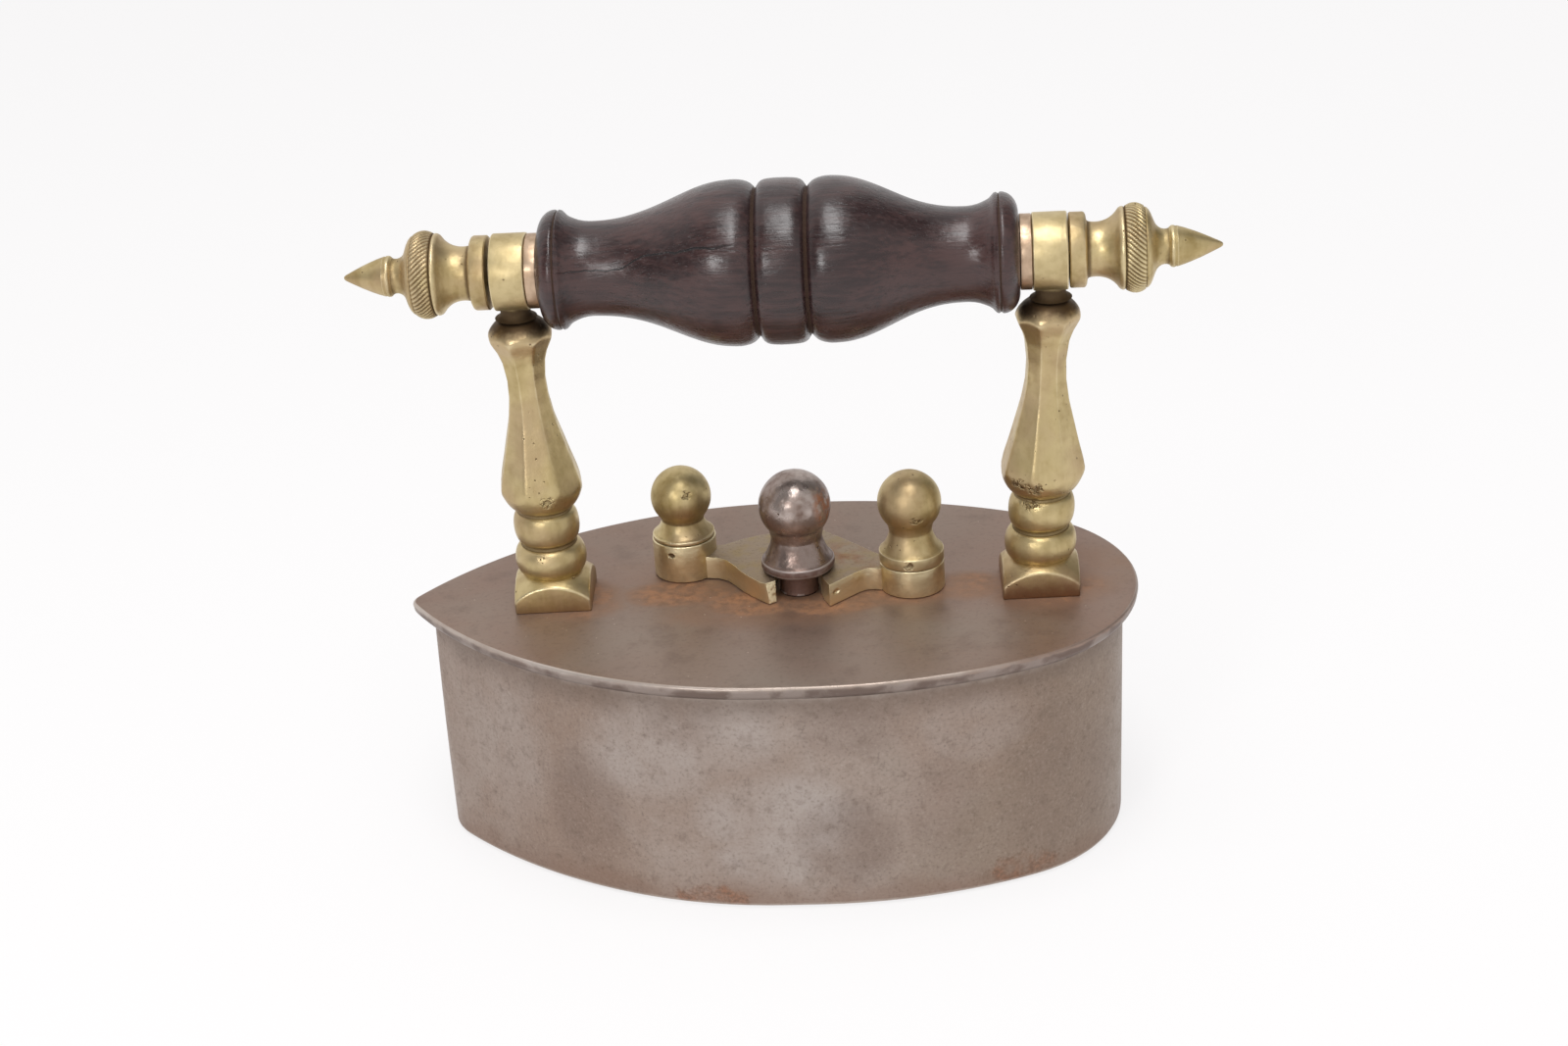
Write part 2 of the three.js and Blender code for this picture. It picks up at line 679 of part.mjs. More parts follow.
// A round boss with its top edge eased.
function boss(top) {
  return turned([
    [0, lidTop + latchLift],
    [bossRadius, lidTop + latchLift],
    [bossRadius, lidTop + top - bossRound],
    [bossRadius - bossRound, lidTop + top],
    [0, lidTop + top],
  ]);
}

function addLatch() {
  const rings = [
    { outline: latchOutline(hornUndercut), height: lidTop + latchLift },
    { outline: latchOutline(0), height: lidTop + latchTop },
  ];
  const thumbBossTop = latchTop + thumbBossRise;
  const high = lidTop + thumbBossTop + overrun;
  const pivotBore = cylinder(pivotStudRadius + pivotRunningGap, lidTop, high);
  const thumbBore = cylinder(thumbShankRadius + seatGap, lidTop, high).translate([-latchReach, 0, 0]);
  const plate = skinned(rings)
    .add(boss(latchTop + pivotBossRise))
    .add(boss(thumbBossTop).translate([-latchReach, 0, 0]))
    .subtract(pivotBore)
    .subtract(thumbBore);
  addPiece('latch_plate', latchPlaced(plate), brass);

  const thumbSeat = thumbBossTop + knobSeatGap;
  const flangeTop = thumbSeat + thumbFlangeRim;
  const thumbKnob = turned([
    [0, lidTop + latchLift],
    [thumbShankRadius, lidTop + latchLift],
    [thumbShankRadius, lidTop + thumbSeat],
    [thumbFlangeRadius, lidTop + thumbSeat],
    [thumbFlangeRadius, lidTop + flangeTop],
    ...knobProfile({
      flangeTop,
      flangeRadius: thumbFlangeRadius,
      neckRise: thumbNeckRise,
      neckRadius: brassNeckRadius,
      ballRise: thumbBallRise,
      ballRadius: thumbBallRadius,
    }),
  ]);
  addPiece('thumb_knob', latchPlaced(thumbKnob.translate([-latchReach, 0, 0])), brass);
}

function addPivot() {
  const knobSeat = latchTop + pivotBossRise + knobSeatGap;
  const flangeTop = knobSeat + pivotFlangeRim;
  const boreTop = lidTop + knobSeat + pivotBoreDepth;
  const bore = cylinder(pivotStudRadius + seatGap, lidTop, boreTop);
  const knob = turned([
    [0, lidTop + knobSeat],
    [pivotFlangeRadius, lidTop + knobSeat],
    [pivotFlangeRadius, lidTop + flangeTop],
    ...knobProfile({
      flangeTop,
      flangeRadius: pivotFlangeRadius,
      neckRise: pivotNeckRise,
      neckRadius: brassNeckRadius,
      ballRise: pivotBallRise,
      ballRadius: pivotBallRadius,
    }),
  ]).subtract(bore);
  addPiece('pivot_knob', knob.translate([pivotX, 0, 0]), brass);

  const nutTop = lidBottom - pivotWasherThickness;
  const nutBottom = nutTop - pivotNutThickness;
  const stud = cylinder(pivotStudRadius, nutBottom - threadEnd, boreTop - seatGap);
  const hole = cylinder(pivotStudRadius + tenonClearance, nutBottom - overrun, lidBottom + overrun);
  const washer = cylinder(pivotWasherRadius, nutTop, lidBottom).subtract(hole);
  const nut = box(pivotNutWidth, pivotNutWidth, nutBottom, nutTop).subtract(hole);
  addPiece('pivot_stud', stud.translate([pivotX, 0, 0]), brass);
  addPiece('pivot_washer', washer.translate([pivotX, 0, 0]), steel);
  addPiece('pivot_nut', nut.translate([pivotX, 0, 0]), steel);
}

// Lock

function addLock() {
  const shaftBottom = barTop + seatGap;
  const rivetTop = barBottom - seatGap;
  const flangeTop = lockFlangeBottom + lockFlangeRim;
  const knob = turned([
    [0, shaftBottom],
    [lockShaftRadius, shaftBottom],
    [lockShaftRadius, lidTop + lidSeatGap],
    [lockCollarRadius, lidTop + lidSeatGap],
    [lockCollarRadius, lidTop + lockCollarHeight / 2],
    [lockStemRadius, lidTop + lockCollarHeight],
    [lockStemRadius, lidTop + lockFlangeBottom],
    [lockFlangeRadius - lockFlangeBevel, lidTop + lockFlangeBottom],
    [lockFlangeRadius, lidTop + lockFlangeBottom + lockFlangeBevel],
    [lockFlangeRadius, lidTop + flangeTop],
    ...knobProfile({
      flangeTop,
      flangeRadius: lockFlangeRadius,
      neckRise: lockNeckRise,
      neckRadius: lockNeckRadius,
      ballRise: lockBallRise,
      ballRadius: lockBallRadius,
    }),
  ]);
  const square = box(lockSquare, lockSquare, rivetTop - lockRivetHeight / 2, shaftBottom + overrun);
  const rivet = turned([
    [0, rivetTop - lockRivetHeight],
    [lockRivetRadius / 2, rivetTop - lockRivetHeight],
    [lockRivetRadius, rivetTop - lockRivetHeight / 2],
    [lockRivetRadius, rivetTop],
    [0, rivetTop],
  ], smallSteps);
  addPiece('lock_knob', knob.add(square).add(rivet), steel);

  const half = halfWidth - wallInset(barBottom) - wallThickness - barTipGap;
  const side = barWidth / 2;
  const outline = [
    [half, -side + barEndRound], [half, side - barEndRound], [half - barEndRound, side],
    [-half + barEndRound, side], [-half, side - barEndRound], [-half, -side + barEndRound],
    [-half + barEndRound, -side], [half - barEndRound, -side],
  ];
  const bar = skinned([{ outline, height: barBottom }, { outline, height: barTop }]);
  const squareHole = lockSquare + 2 * seatGap;
  const hole = box(squareHole, squareHole, barBottom - overrun, barTop + overrun);
  addPiece('locking_bar', bar.subtract(hole), steel);
}

// Handle

function atHandle(solid, x = 0) {
  return solid.translate([x, 0, handleHeight]);
}

function addEyes() {
  const half = eyeWidth / 2;
  const ringProfile = [
    [rodRadius + rodClearance, -half],
    [eyeRadius - eyeChamfer, -half],
    [eyeRadius, -half + eyeChamfer],
    [eyeRadius, half - eyeChamfer],
    [eyeRadius - eyeChamfer, half],
    [rodRadius + rodClearance, half],
    [rodRadius + rodClearance, -half],
  ];
  const neckBottom = lidTop + domeTopLevel + seatGap;
  const boreRadius = rodRadius + rodClearance;
  const bore = turnedAlongX([[0, -eyeWidth], [boreRadius, -eyeWidth], [boreRadius, eyeWidth], [0, eyeWidth]]);
  const neck = cylinder(eyeNeckRadius, neckBottom - handleHeight, 0)
    .add(cylinder(eyeShankRadius, neckBottom - eyeShankLength - handleHeight, 0))
    .subtract(bore);
  for (const [end, side] of [['nose', -1], ['heel', 1]]) {
    addPiece(`eye_${end}`, atHandle(turnedAlongX(ringProfile).add(neck), side * eyeX), brass);
  }
}

function addGrip() {
  const boreRadius = rodRadius + gripBoreGap;
  const flangeInner = gripHalf - gripFlangeWidth;
  const neckAt = flangeInner - gripNeckInset;
  const taperRadius = gripNeckRadius + (gripFlangeRadius - gripNeckRadius) * gripTaperShare;
  const shoulderRadius = gripBellyRadius - gripShoulderDrop;
  const lipRadius = gripBellyRadius - gripLipDrop;
  const half = [
    [boreRadius, gripHalf],
    [gripFlangeRadius - gripEdgeRound, gripHalf],
    [gripFlangeRadius, gripHalf - gripEdgeRound],
    [gripFlangeRadius, flangeInner + gripFlangeStep],
    [gripFlangeRadius - gripFlangeStep, flangeInner],
    [taperRadius, (flangeInner + neckAt) / 2],
    [gripNeckRadius, neckAt],
    ...sweep(neckAt, gripNeckRadius, gripBellyAt, gripBellyRadius, 8, gripSwellShare),
    [gripBellyRadius, gripBellyAt],
    [shoulderRadius, gripGrooveAt + gripGrooveHalf * 2],
    [lipRadius, gripGrooveAt + gripGrooveHalf],
    [lipRadius - gripGrooveDepth, gripGrooveAt],
    [lipRadius, gripGrooveAt - gripGrooveHalf],
    [shoulderRadius, gripGrooveAt / 2],
  ];
  const mirrored = [...half].reverse().map(([radius, x]) => [radius, -x]);
  const profile = [...half, [gripBellyRadius, 0], ...mirrored, [boreRadius, gripHalf]].reverse();
  addPiece('grip', atHandle(turnedAlongX(profile)), darkWood);
}

function addCopperWashers() {
  const profile = [
    [rodRadius + rodClearance, 0],
    [copperWasherRadius, 0],
    [copperWasherRadius, copperWasherWidth],
    [rodRadius + rodClearance, copperWasherWidth],
    [rodRadius + rodClearance, 0],
  ];
  for (const [end, side] of [['nose', -1], ['heel', 1]]) {
    addPiece(`copper_washer_${end}`, atHandle(turnedAlongX(profile, side), side * washerInner), copper);
  }
}

function addHandleRod() {
  const reach = (gap) => eyeOuter + gap + rodInFinial;
  const profile = [
    [0, -reach(finialGapNose)],
    [rodRadius, -reach(finialGapNose)],
    [rodRadius, reach(finialGapHeel)],
    [0, reach(finialGapHeel)],
  ];
  addPiece('handle_rod', atHandle(turnedAlongX(profile, 1, smallSteps)), steel);
}

function addFinials() {
  const waistEnd = finialFlangeWidth + finialWaistLength;
  const knurlStart = waistEnd + finialRingShoulder;
  const knurlEnd = knurlStart + finialKnurlWidth;
  const ringEnd = knurlEnd + finialRingShoulder;
  const beadStart = ringEnd + finialSpindleLength;
  const beadEnd = beadStart + finialBeadWidth;
  for (const [end, side, gap] of [['nose', -1, finialGapNose], ['heel', 1, finialGapHeel]]) {
    // both points end at the same distance from the middle of the handle
    const pointLength = finialPointLength + finialGapHeel - gap;
    const length = beadEnd + pointLength;
    const shoulderRadius = finialRingRadius - finialRingShoulderDrop;
    const waist = [];
    for (let i = 1; i < finialWaistSteps; i++) {
      const share = i / finialWaistSteps;
      const rise = (shoulderRadius - finialWaistRadius) * (2 * share - 1) ** 2;
      waist.push([finialWaistRadius + rise, finialFlangeWidth + finialWaistLength * share]);
    }
    const boreRadius = rodRadius + rodClearance;
    const boreEnd = rodInFinial + rodClearance;
    const profile = [
      [0, 0],
      [finialFlangeRadius, 0],
      [finialFlangeRadius, finialFlangeWidth - finialFlangeChamfer],
      [finialFlangeRadius - finialFlangeChamfer, finialFlangeWidth],
      ...waist,
      [shoulderRadius, waistEnd],
      [finialRingRadius, knurlStart],
      [finialRingRadius, knurlEnd],
      [shoulderRadius, ringEnd],
      ...finialSpindleShares.map(([radiusShare, lengthShare]) => [
        finialSpindleRadius * radiusShare,
        ringEnd + finialSpindleLength * lengthShare,
      ]),
      [finialBeadRadius, beadStart],
      [finialBeadRadius, beadEnd],
      ...finialPointShares.map(([radiusShare, lengthShare]) => [
        finialBeadRadius * radiusShare,
        beadEnd + pointLength * lengthShare,
      ]),
      [finialPointRadius, length - finialPointRadius / 2],
      [0, length],
    ];
    const boreProfile = [[0, -overrun], [boreRadius, -overrun], [boreRadius, boreEnd], [0, boreEnd]];
    const body = turnedAlongX(profile, side, finialSteps);
    const finial = body.subtract(turnedAlongX(boreProfile, side, smallSteps));
    addPiece(`finial_${end}`, atHandle(finial, side * (eyeOuter + gap)), brass);
  }
}

addSolePlate();
addBoxWall();
addCatchLugs();
addSlugRests();
addHeatingSlug();
addLidPlate();
addLocatingRim();
addPillars();
addPivot();
addLatch();
addLock();
addEyes();
addGrip();
addCopperWashers();
addHandleRod();
addFinials();

export default iron;
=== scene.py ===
"""Finish and fine detail of an antique slug iron.

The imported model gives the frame. Each piece here stands for one of its nodes, rides on the
same body and stays inside its box. Sizes are in millimetres until a mesh is made.
"""

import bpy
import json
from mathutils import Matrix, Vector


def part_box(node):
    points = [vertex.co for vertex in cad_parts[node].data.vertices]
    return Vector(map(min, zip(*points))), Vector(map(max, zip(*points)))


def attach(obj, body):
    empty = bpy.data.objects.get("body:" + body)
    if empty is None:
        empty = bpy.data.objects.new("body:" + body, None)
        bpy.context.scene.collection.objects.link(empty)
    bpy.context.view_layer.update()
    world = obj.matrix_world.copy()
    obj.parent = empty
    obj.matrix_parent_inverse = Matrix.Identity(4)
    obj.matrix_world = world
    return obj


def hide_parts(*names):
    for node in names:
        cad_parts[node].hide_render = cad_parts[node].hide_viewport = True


bl_info = {
    "name": "Slug iron",
    "version": (1, 0, 0),
    "blender": (4, 5, 0),
    "location": "3D View > Sidebar > Iron",
    "description": "Models the pieces of an antique slug iron and their finishes",
    "category": "Object",
}

import json
import math
from collections import namedtuple

import bmesh
import bpy
from bpy.props import FloatProperty, FloatVectorProperty, IntProperty, PointerProperty
from mathutils import Matrix, Vector, noise

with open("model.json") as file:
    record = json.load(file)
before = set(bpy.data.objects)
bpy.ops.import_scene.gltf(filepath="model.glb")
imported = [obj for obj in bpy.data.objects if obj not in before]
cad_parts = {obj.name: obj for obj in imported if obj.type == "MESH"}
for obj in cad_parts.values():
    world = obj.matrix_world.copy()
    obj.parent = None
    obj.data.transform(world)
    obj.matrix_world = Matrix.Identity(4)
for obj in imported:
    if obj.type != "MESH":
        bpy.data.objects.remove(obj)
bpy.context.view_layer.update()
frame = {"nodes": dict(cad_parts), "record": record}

MM = 0.001
BODY_OF = {node: body for body, nodes in frame["record"]["behaviour"]["bodies"].items() for node in nodes}
ENDS = (("nose", -1), ("heel", 1))


Point = namedtuple("Point", "x y z")


def span(node):
    """Lowest and highest corner of a node's box, in millimetres."""
    return [Point(*(value / MM for value in corner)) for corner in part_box(node)]


def middle(node):
    """Middle of a node's box, in millimetres."""
    return Point(*((low + high) / 2 / MM for low, high in zip(*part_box(node))))


# Levels and places of the model
LID_BOTTOM = span("lid_plate")[0].z
LID_TOP = span("lid_plate")[1].z
WALL_TOP = span("box_wall")[1].z
HANDLE_Z = middle("grip").z
EYE_X = middle("eye_heel").x
PIVOT_X = middle("pivot_nut").x
PILLAR_X = {end: middle(f"pillar_nut_{end}").x for end, side in ENDS}


def colour(name, description, default):
    return FloatVectorProperty(
        name=name, description=description, default=default, size=3, min=0, max=1, subtype="COLOR"
    )


def number(name, description, default, **rest):
    return FloatProperty(name=name, description=description, default=default, **rest)


def degrees(name, description, default):
    return number(name, description, math.radians(default), subtype="ANGLE")


class StageSettings(bpy.types.PropertyGroup):
    """Camera, lamps and floor."""

    camera_place: FloatVectorProperty(
        name="Camera place", description="Where the camera stands", default=(0.04712, -0.61606, 0.36939),
        subtype="XYZ", unit="LENGTH",
    )
    camera_yaw: degrees("Yaw", "Turn of the camera to the left", 4.630)
    camera_pitch: degrees("Pitch", "How far the camera looks down", 25.164)
    camera_roll: degrees("Roll", "Tilt of the camera", -3.815)
    focal_length: number("Focal length", "Focal length on a 36 mm sensor", 65.905, min=1, unit="CAMERA")
    key_power: number("Key lamp", "Power of the lamp beside the camera", 3.2, min=0, unit="POWER")
    top_power: number("Top lamp", "Power of the lamp above", 5.5, min=0, unit="POWER")
    room_level: number("Room light", "Even light from all round", 0.62, min=0, max=1, subtype="FACTOR")
    floor_color: colour("Floor", "Colour of the floor", (0.965, 0.955, 0.957))


class BrassSettings(bpy.types.PropertyGroup):
    """Colours of the aged brass and copper."""

    clean_color: colour("Clean brass", "Brass where hands keep it bright", (0.635, 0.51, 0.275))
    dull_color: colour("Dull brass", "Brass with a thin brown film", (0.385, 0.285, 0.12))
    blush_color: colour("Blush", "Pinkish brown film on the flats", (0.48, 0.345, 0.21))
    # Rusty dirt at the pillars' feet, also used for painted shade in the latch's concave sides
    grime_and_shade_color: colour("Grime", "Rusty dirt where a piece stands on the lid", (0.22, 0.105, 0.058))
    # Tarnish in the hollows, also used for painted shade low on the latch's sides
    tarnish_and_shade_color: colour("Tarnish", "Dirt and tarnish in the hollows", (0.115, 0.068, 0.033))
    worn_color: colour("Worn edge", "Edges rubbed bright", (0.86, 0.75, 0.50))
    patina_color: colour("Latch patina", "Film on the top of the latch", (0.37, 0.285, 0.205))
    copper_color: colour("Copper", "Bright copper of the washers", (0.60, 0.44, 0.31))
    copper_dull_color: colour("Dull copper", "Copper with a brown film", (0.44, 0.31, 0.21))
    roughness: number("Roughness", "Roughness of the clean brass", 0.40, min=0, max=1, subtype="FACTOR")


class SteelSettings(bpy.types.PropertyGroup):
    """Colours of the steel and iron."""

    lid_color: colour("Lid", "Brown film on the lid", (0.275, 0.182, 0.140))
    # Greyer metal of the lid, also used for its painted sheen at the front
    lid_metal_and_sheen_color: colour("Lid metal", "Greyer metal on the lid", (0.31, 0.25, 0.205))
    wall_color: colour("Wall", "Film on the wall of the box", (0.295, 0.215, 0.17))
    # Greyer metal of the wall, also used for its painted sheen in the middle
    wall_metal_and_sheen_color: colour("Wall metal", "Greyer metal on the wall", (0.40, 0.335, 0.295))
    rust_color: colour("Rust", "Orange rust", (0.30, 0.115, 0.045))
    lock_color: colour("Lock", "Steel of the lock knob", (0.47, 0.395, 0.36))
    inner_color: colour("Inside", "Steel darkened by heat", (0.10, 0.085, 0.075))
    slug_color: colour("Slug", "Cast iron with heat scale", (0.055, 0.05, 0.048))


class WoodSettings(bpy.types.PropertyGroup):
    """Colours of the turned wood."""

    wood_color: colour("Wood", "Dark heartwood", (0.019, 0.0075, 0.0078))
    grain_color: colour("Grain", "Lighter streaks of the grain", (0.052, 0.022, 0.020))
    groove_color: colour("Groove dirt", "Polish and dust in the grooves", (0.065, 0.035, 0.02))


class FinialSettings(bpy.types.PropertyGroup):
    """Knurling of the two pointed nuts."""

    knurl_count: IntProperty(name="Knurls", description="Slanting ridges round the ring", default=52, min=8)
    knurl_depth: number("Knurl depth", "Height of the ridges", 0.00042, min=0, unit="LENGTH")
    knurl_slant: degrees("Knurl slant", "Turn of a ridge across the ring", -22)


class IronSettings(bpy.types.PropertyGroup):
    """All settings of the iron."""

    stage: PointerProperty(type=StageSettings)
    brass: PointerProperty(type=BrassSettings)
    steel: PointerProperty(type=SteelSettings)
    wood: PointerProperty(type=WoodSettings)
    finial: PointerProperty(type=FinialSettings)


# Finishes


def both_ways(operation):
    """An operator of a wire, and its reflected form."""
    return (
        lambda self, other: self.nodes.math(operation, self, other),
        lambda self, other: self.nodes.math(operation, other, self),
    )


class Wire:
    """A socket that takes part in Python arithmetic."""

    __add__, __radd__ = both_ways("ADD")
    __sub__, __rsub__ = both_ways("SUBTRACT")
    __mul__, __rmul__ = both_ways("MULTIPLY")
    __truediv__, __rtruediv__ = both_ways("DIVIDE")
    __pow__, __rpow__ = both_ways("POWER")

    def __init__(self, nodes, socket):
        self.nodes = nodes
        self.socket = socket

    def __getitem__(self, name):
        return Wire(self.nodes, self.socket.node.outputs[name])


class Nodes:
    """The node tree of a material or a world."""

    def __init__(self, owner):
        owner.use_nodes = True
        self.owner = owner
        self.tree = owner.node_tree
        self.tree.nodes.clear()

    def node(self, kind, sockets=None, **settings):
        """Adds a node: first its settings, then the values or links of its sockets."""
        node = self.tree.nodes.new(kind)
        for key, value in settings.items():
            setattr(node, key, value)
        for key, value in (sockets or {}).items():
            if isinstance(key, int):
                socket = node.inputs[key]
            else:
                socket = next(item for item in node.inputs if item.name == key and item.enabled)
            if isinstance(value, Wire):
                self.tree.links.new(value.socket, socket)
            elif socket.type == "RGBA":
                socket.default_value = (*value, 1)
            else:
                socket.default_value = value
        outputs = [item for item in node.outputs if item.enabled]
        return Wire(self, outputs[0]) if outputs else None

    def math(self, operation, first, second=0.0):
        return self.node("ShaderNodeMath", {0: first, 1: second}, operation=operation)

    def mix(self, share, first, second, kind="RGBA"):
        """Mixes two colours, or two numbers where the kind is FLOAT."""
        return self.node("ShaderNodeMix", {"Factor": share, "A": first, "B": second}, data_type=kind)

    def ramp(self, value, low, high, start=0.0, end=1.0):
        """Goes smoothly from start to end while the value goes from low to high."""
        return self.node(
            "ShaderNodeMapRange",
            {"Value": value, "From Min": low, "From Max": high, "To Min": start, "To Max": end},
            interpolation_type="SMOOTHSTEP",
        )


class Finish(Nodes):
    """A material in millimetres of object space."""

    def __init__(self, name):
        super().__init__(bpy.data.materials.new(name))
        place = self.node("ShaderNodeTexCoord")["Object"]
        self.place = self.node("ShaderNodeVectorMath", {"Vector": place, "Scale": 1 / MM}, operation="SCALE")
        axes = self.node("ShaderNodeSeparateXYZ", {"Vector": self.place})
        self.x = axes["X"]
        self.y = axes["Y"]
        self.z = axes["Z"]

    def noise(self, scale, detail=3.0, stretch=(1, 1, 1), shift=(0, 0, 0), distortion=0.0, roughness=0.55):
        """Noise from 0 to 1, with features about 1 / scale millimetres wide."""
        place = self.node("ShaderNodeMapping", {"Vector": self.place, "Location": shift, "Scale": stretch})
        sockets = {"Vector": place, "Scale": scale, "Detail": detail}
        return self.node("ShaderNodeTexNoise", sockets | {"Roughness": roughness, "Distortion": distortion})

    def cloud(self, scale, detail, low, high, **noise_settings):
        """Patches of noise, from 0 where it is under low to 1 where it is over high."""
        return self.ramp(self.noise(scale, detail, **noise_settings), low, high)

    def sway(self, reach, scale, detail, **noise_settings):
        """Noise that goes half a reach up and down, to make a border uneven."""
        return (self.noise(scale, detail, **noise_settings) - 0.5) * reach

    def spots(self, scale, low, high, shift=(0, 0, 0)):
        """Scattered spots: 1 in the middle of a spot and 0 outside."""
        place = self.node("ShaderNodeMapping", {"Vector": self.place, "Location": shift})
        cell = self.node("ShaderNodeTexVoronoi", {"Vector": place, "Scale": scale}, feature="F1")
        return self.ramp(cell, high, low)

    def paint(self, color, *layers):
        """Lays colours over another one after the other, each given as (share, colour)."""
        for share, over in layers:
            color = self.mix(share, color, over)
        return color

    def relief(self):
        """How the surface bulges (over 0.5) or hollows (under 0.5), stored on the piece."""
        return self.node("ShaderNodeAttribute", attribute_name="relief")["Fac"]

    def level(self, low=0.80, high=0.97, uneven=0.04):
        """1 where the surface lies flat and faces up."""
        normal = self.node("ShaderNodeNewGeometry")["Normal"]
        up = self.node("ShaderNodeSeparateXYZ", {"Vector": normal})["Z"]
        return self.ramp(up + self.sway(uneven, 0.5, 3), low, high)

    def near(self, centre, reach):
        """1 at a point and 0 beyond an ellipsoid round it."""
        axes = (self.x, self.y, self.z)
        parts = [((axis - at) / size) ** 2 for axis, at, size in zip(axes, centre, reach)]
        return self.ramp(parts[0] + parts[1] + parts[2], 1.0, 0.15)

    def places(self, spots):
        """The strongest of several soft places, each given as (centre, reach, strength)."""
        share = 0.0
        for centre, reach, strength in spots:
            share = self.math("MAXIMUM", self.near(centre, reach) * strength, share)
        return share

    def finish(self, color, roughness, bumps=(), metallic=1.0, coat=0.0):
        """Joins colour, roughness and a chain of (height, distance in mm, strength) bumps."""
        sockets = {"Base Color": color, "Roughness": roughness, "Metallic": metallic}
        for height, distance, strength in bumps:
            bump = {"Height": height, "Distance": distance * MM, "Strength": strength}
            if "Normal" in sockets:
                bump["Normal"] = sockets["Normal"]
            sockets["Normal"] = self.node("ShaderNodeBump", bump)
        if coat:
            sockets["Coat Weight"] = coat
            sockets["Coat Roughness"] = 0.22
        shader = self.node("ShaderNodeBsdfPrincipled", sockets)
        self.node("ShaderNodeOutputMaterial", {"Surface": shader})
        return self.owner


def brass_finish(name, settings, gouges=(), dark_above=None, grime=0.6, film=1.0):
    """Turned brass: bright where it is handled, brown in the hollows, with small dents."""
    f = Finish(name)
    relief = f.relief()
    cloud = f.cloud(0.07, 4, 0.36, 0.66, shift=(11, 5, 3))
    mottle = f.cloud(0.45, 5, 0.42, 0.72, shift=(3, 9, 4))
    streak = f.cloud(0.3, 3, 0.42, 0.66, stretch=(1, 1, 0.12), shift=(6, 2, 8))
    blush = f.cloud(0.05, 3, 0.40, 0.6, shift=(1, 3, 12))
    speck = f.spots(0.55, 0.05, 0.16) * f.cloud(0.16, 2, 0.5, 0.62, shift=(7, 1, 2))
    hollow = f.ramp(relief + f.sway(0.12, 0.8, 3), 0.46, 0.24)
    worn = f.ramp(relief + f.sway(0.2, 0.6, 3), 0.68, 0.98)
    low = f.z + f.sway(5, 0.35, 4, shift=(8, 8, 8))
    foot = f.ramp(low, LID_TOP + 1 + grime * 8, LID_TOP - 2 + grime * 3)
    dull = (cloud * 0.5 + mottle * 0.35 + streak * 0.35) * film
    color = f.paint(
        f.mix(dull, settings.clean_color, settings.dull_color),
        (blush * 0.6, settings.blush_color),
        (hollow * (0.3 + film * 0.4), settings.tarnish_and_shade_color),
        (worn * 0.55, settings.worn_color),
        (speck * 0.8, settings.tarnish_and_shade_color),
        (foot * grime, settings.grime_and_shade_color),
    )
    marks = speck * 0.5
    for centre, reach, strength in gouges:
        rough_spot = f.near(centre, reach) * f.cloud(0.9, 3, 0.42, 0.62, shift=centre)
        color = f.mix(rough_spot * strength, color, settings.tarnish_and_shade_color)
        marks = marks + rough_spot
    base = settings.roughness + (film - 1) * 0.2
    roughness = base + cloud * 0.1 + mottle * 0.07 + hollow * 0.2 + foot * 0.15 - worn * 0.06
    # Painted shade: the top of the crown darkened under the eye
    if dark_above is not None:
        crown_top_shade = f.ramp(f.z + f.sway(3, 0.35, 3), dark_above, dark_above + 2.4)
        color = f.mix(crown_top_shade * 0.9, color, (0.07, 0.042, 0.026))
        roughness = roughness + crown_top_shade * 0.15
    bumps = [
        (f.noise(0.32, 3, shift=(1, 4, 9)), 0.2, 0.6),
        (f.noise(1.1, 4, shift=(5, 4, 2)), 0.035, 0.6),
        (f.noise(2.2, 3, stretch=(1, 1, 0.25), shift=(2, 8, 6)), 0.025, 0.6),
        (marks * -1.0, 0.4, 0.9),
    ]
    return f.finish(color, roughness, bumps)


def eye_finish(name, settings):
    """Bright brass with painted shade on the neck under the ring."""
    f = Finish(name)
    cloud = f.cloud(0.1, 4, 0.42, 0.7, shift=(3, 5, 3))
    mottle = f.cloud(0.45, 5, 0.42, 0.7, shift=(6, 6, 3))
    # Painted shade: the neck under the ring dark
    neck = f.ramp(f.z + f.sway(2, 0.4, 3), HANDLE_Z - 7.2, HANDLE_Z - 8.8)
    speck = f.spots(0.5, 0.04, 0.15) * f.cloud(0.2, 2, 0.5, 0.6)
    color = f.paint(
        f.mix(0.2 + cloud * 0.45 + mottle * 0.35, settings.clean_color, settings.dull_color),
        (f.ramp(f.relief(), 0.68, 0.92) * 0.6, settings.worn_color),
        (speck * 0.7, settings.tarnish_and_shade_color),
        (neck * 0.9, (0.095, 0.058, 0.036)),
    )
    turning = f.noise(1.6, 3, stretch=(2.0, 0.2, 0.2))
    bumps = [(f.noise(0.25, 3), 0.25, 0.6), (turning, 0.04, 0.7), (speck * -1.0, 0.2, 0.8)]
    return f.finish(color, settings.roughness + 0.04 + cloud * 0.1 + neck * 0.3, bumps)


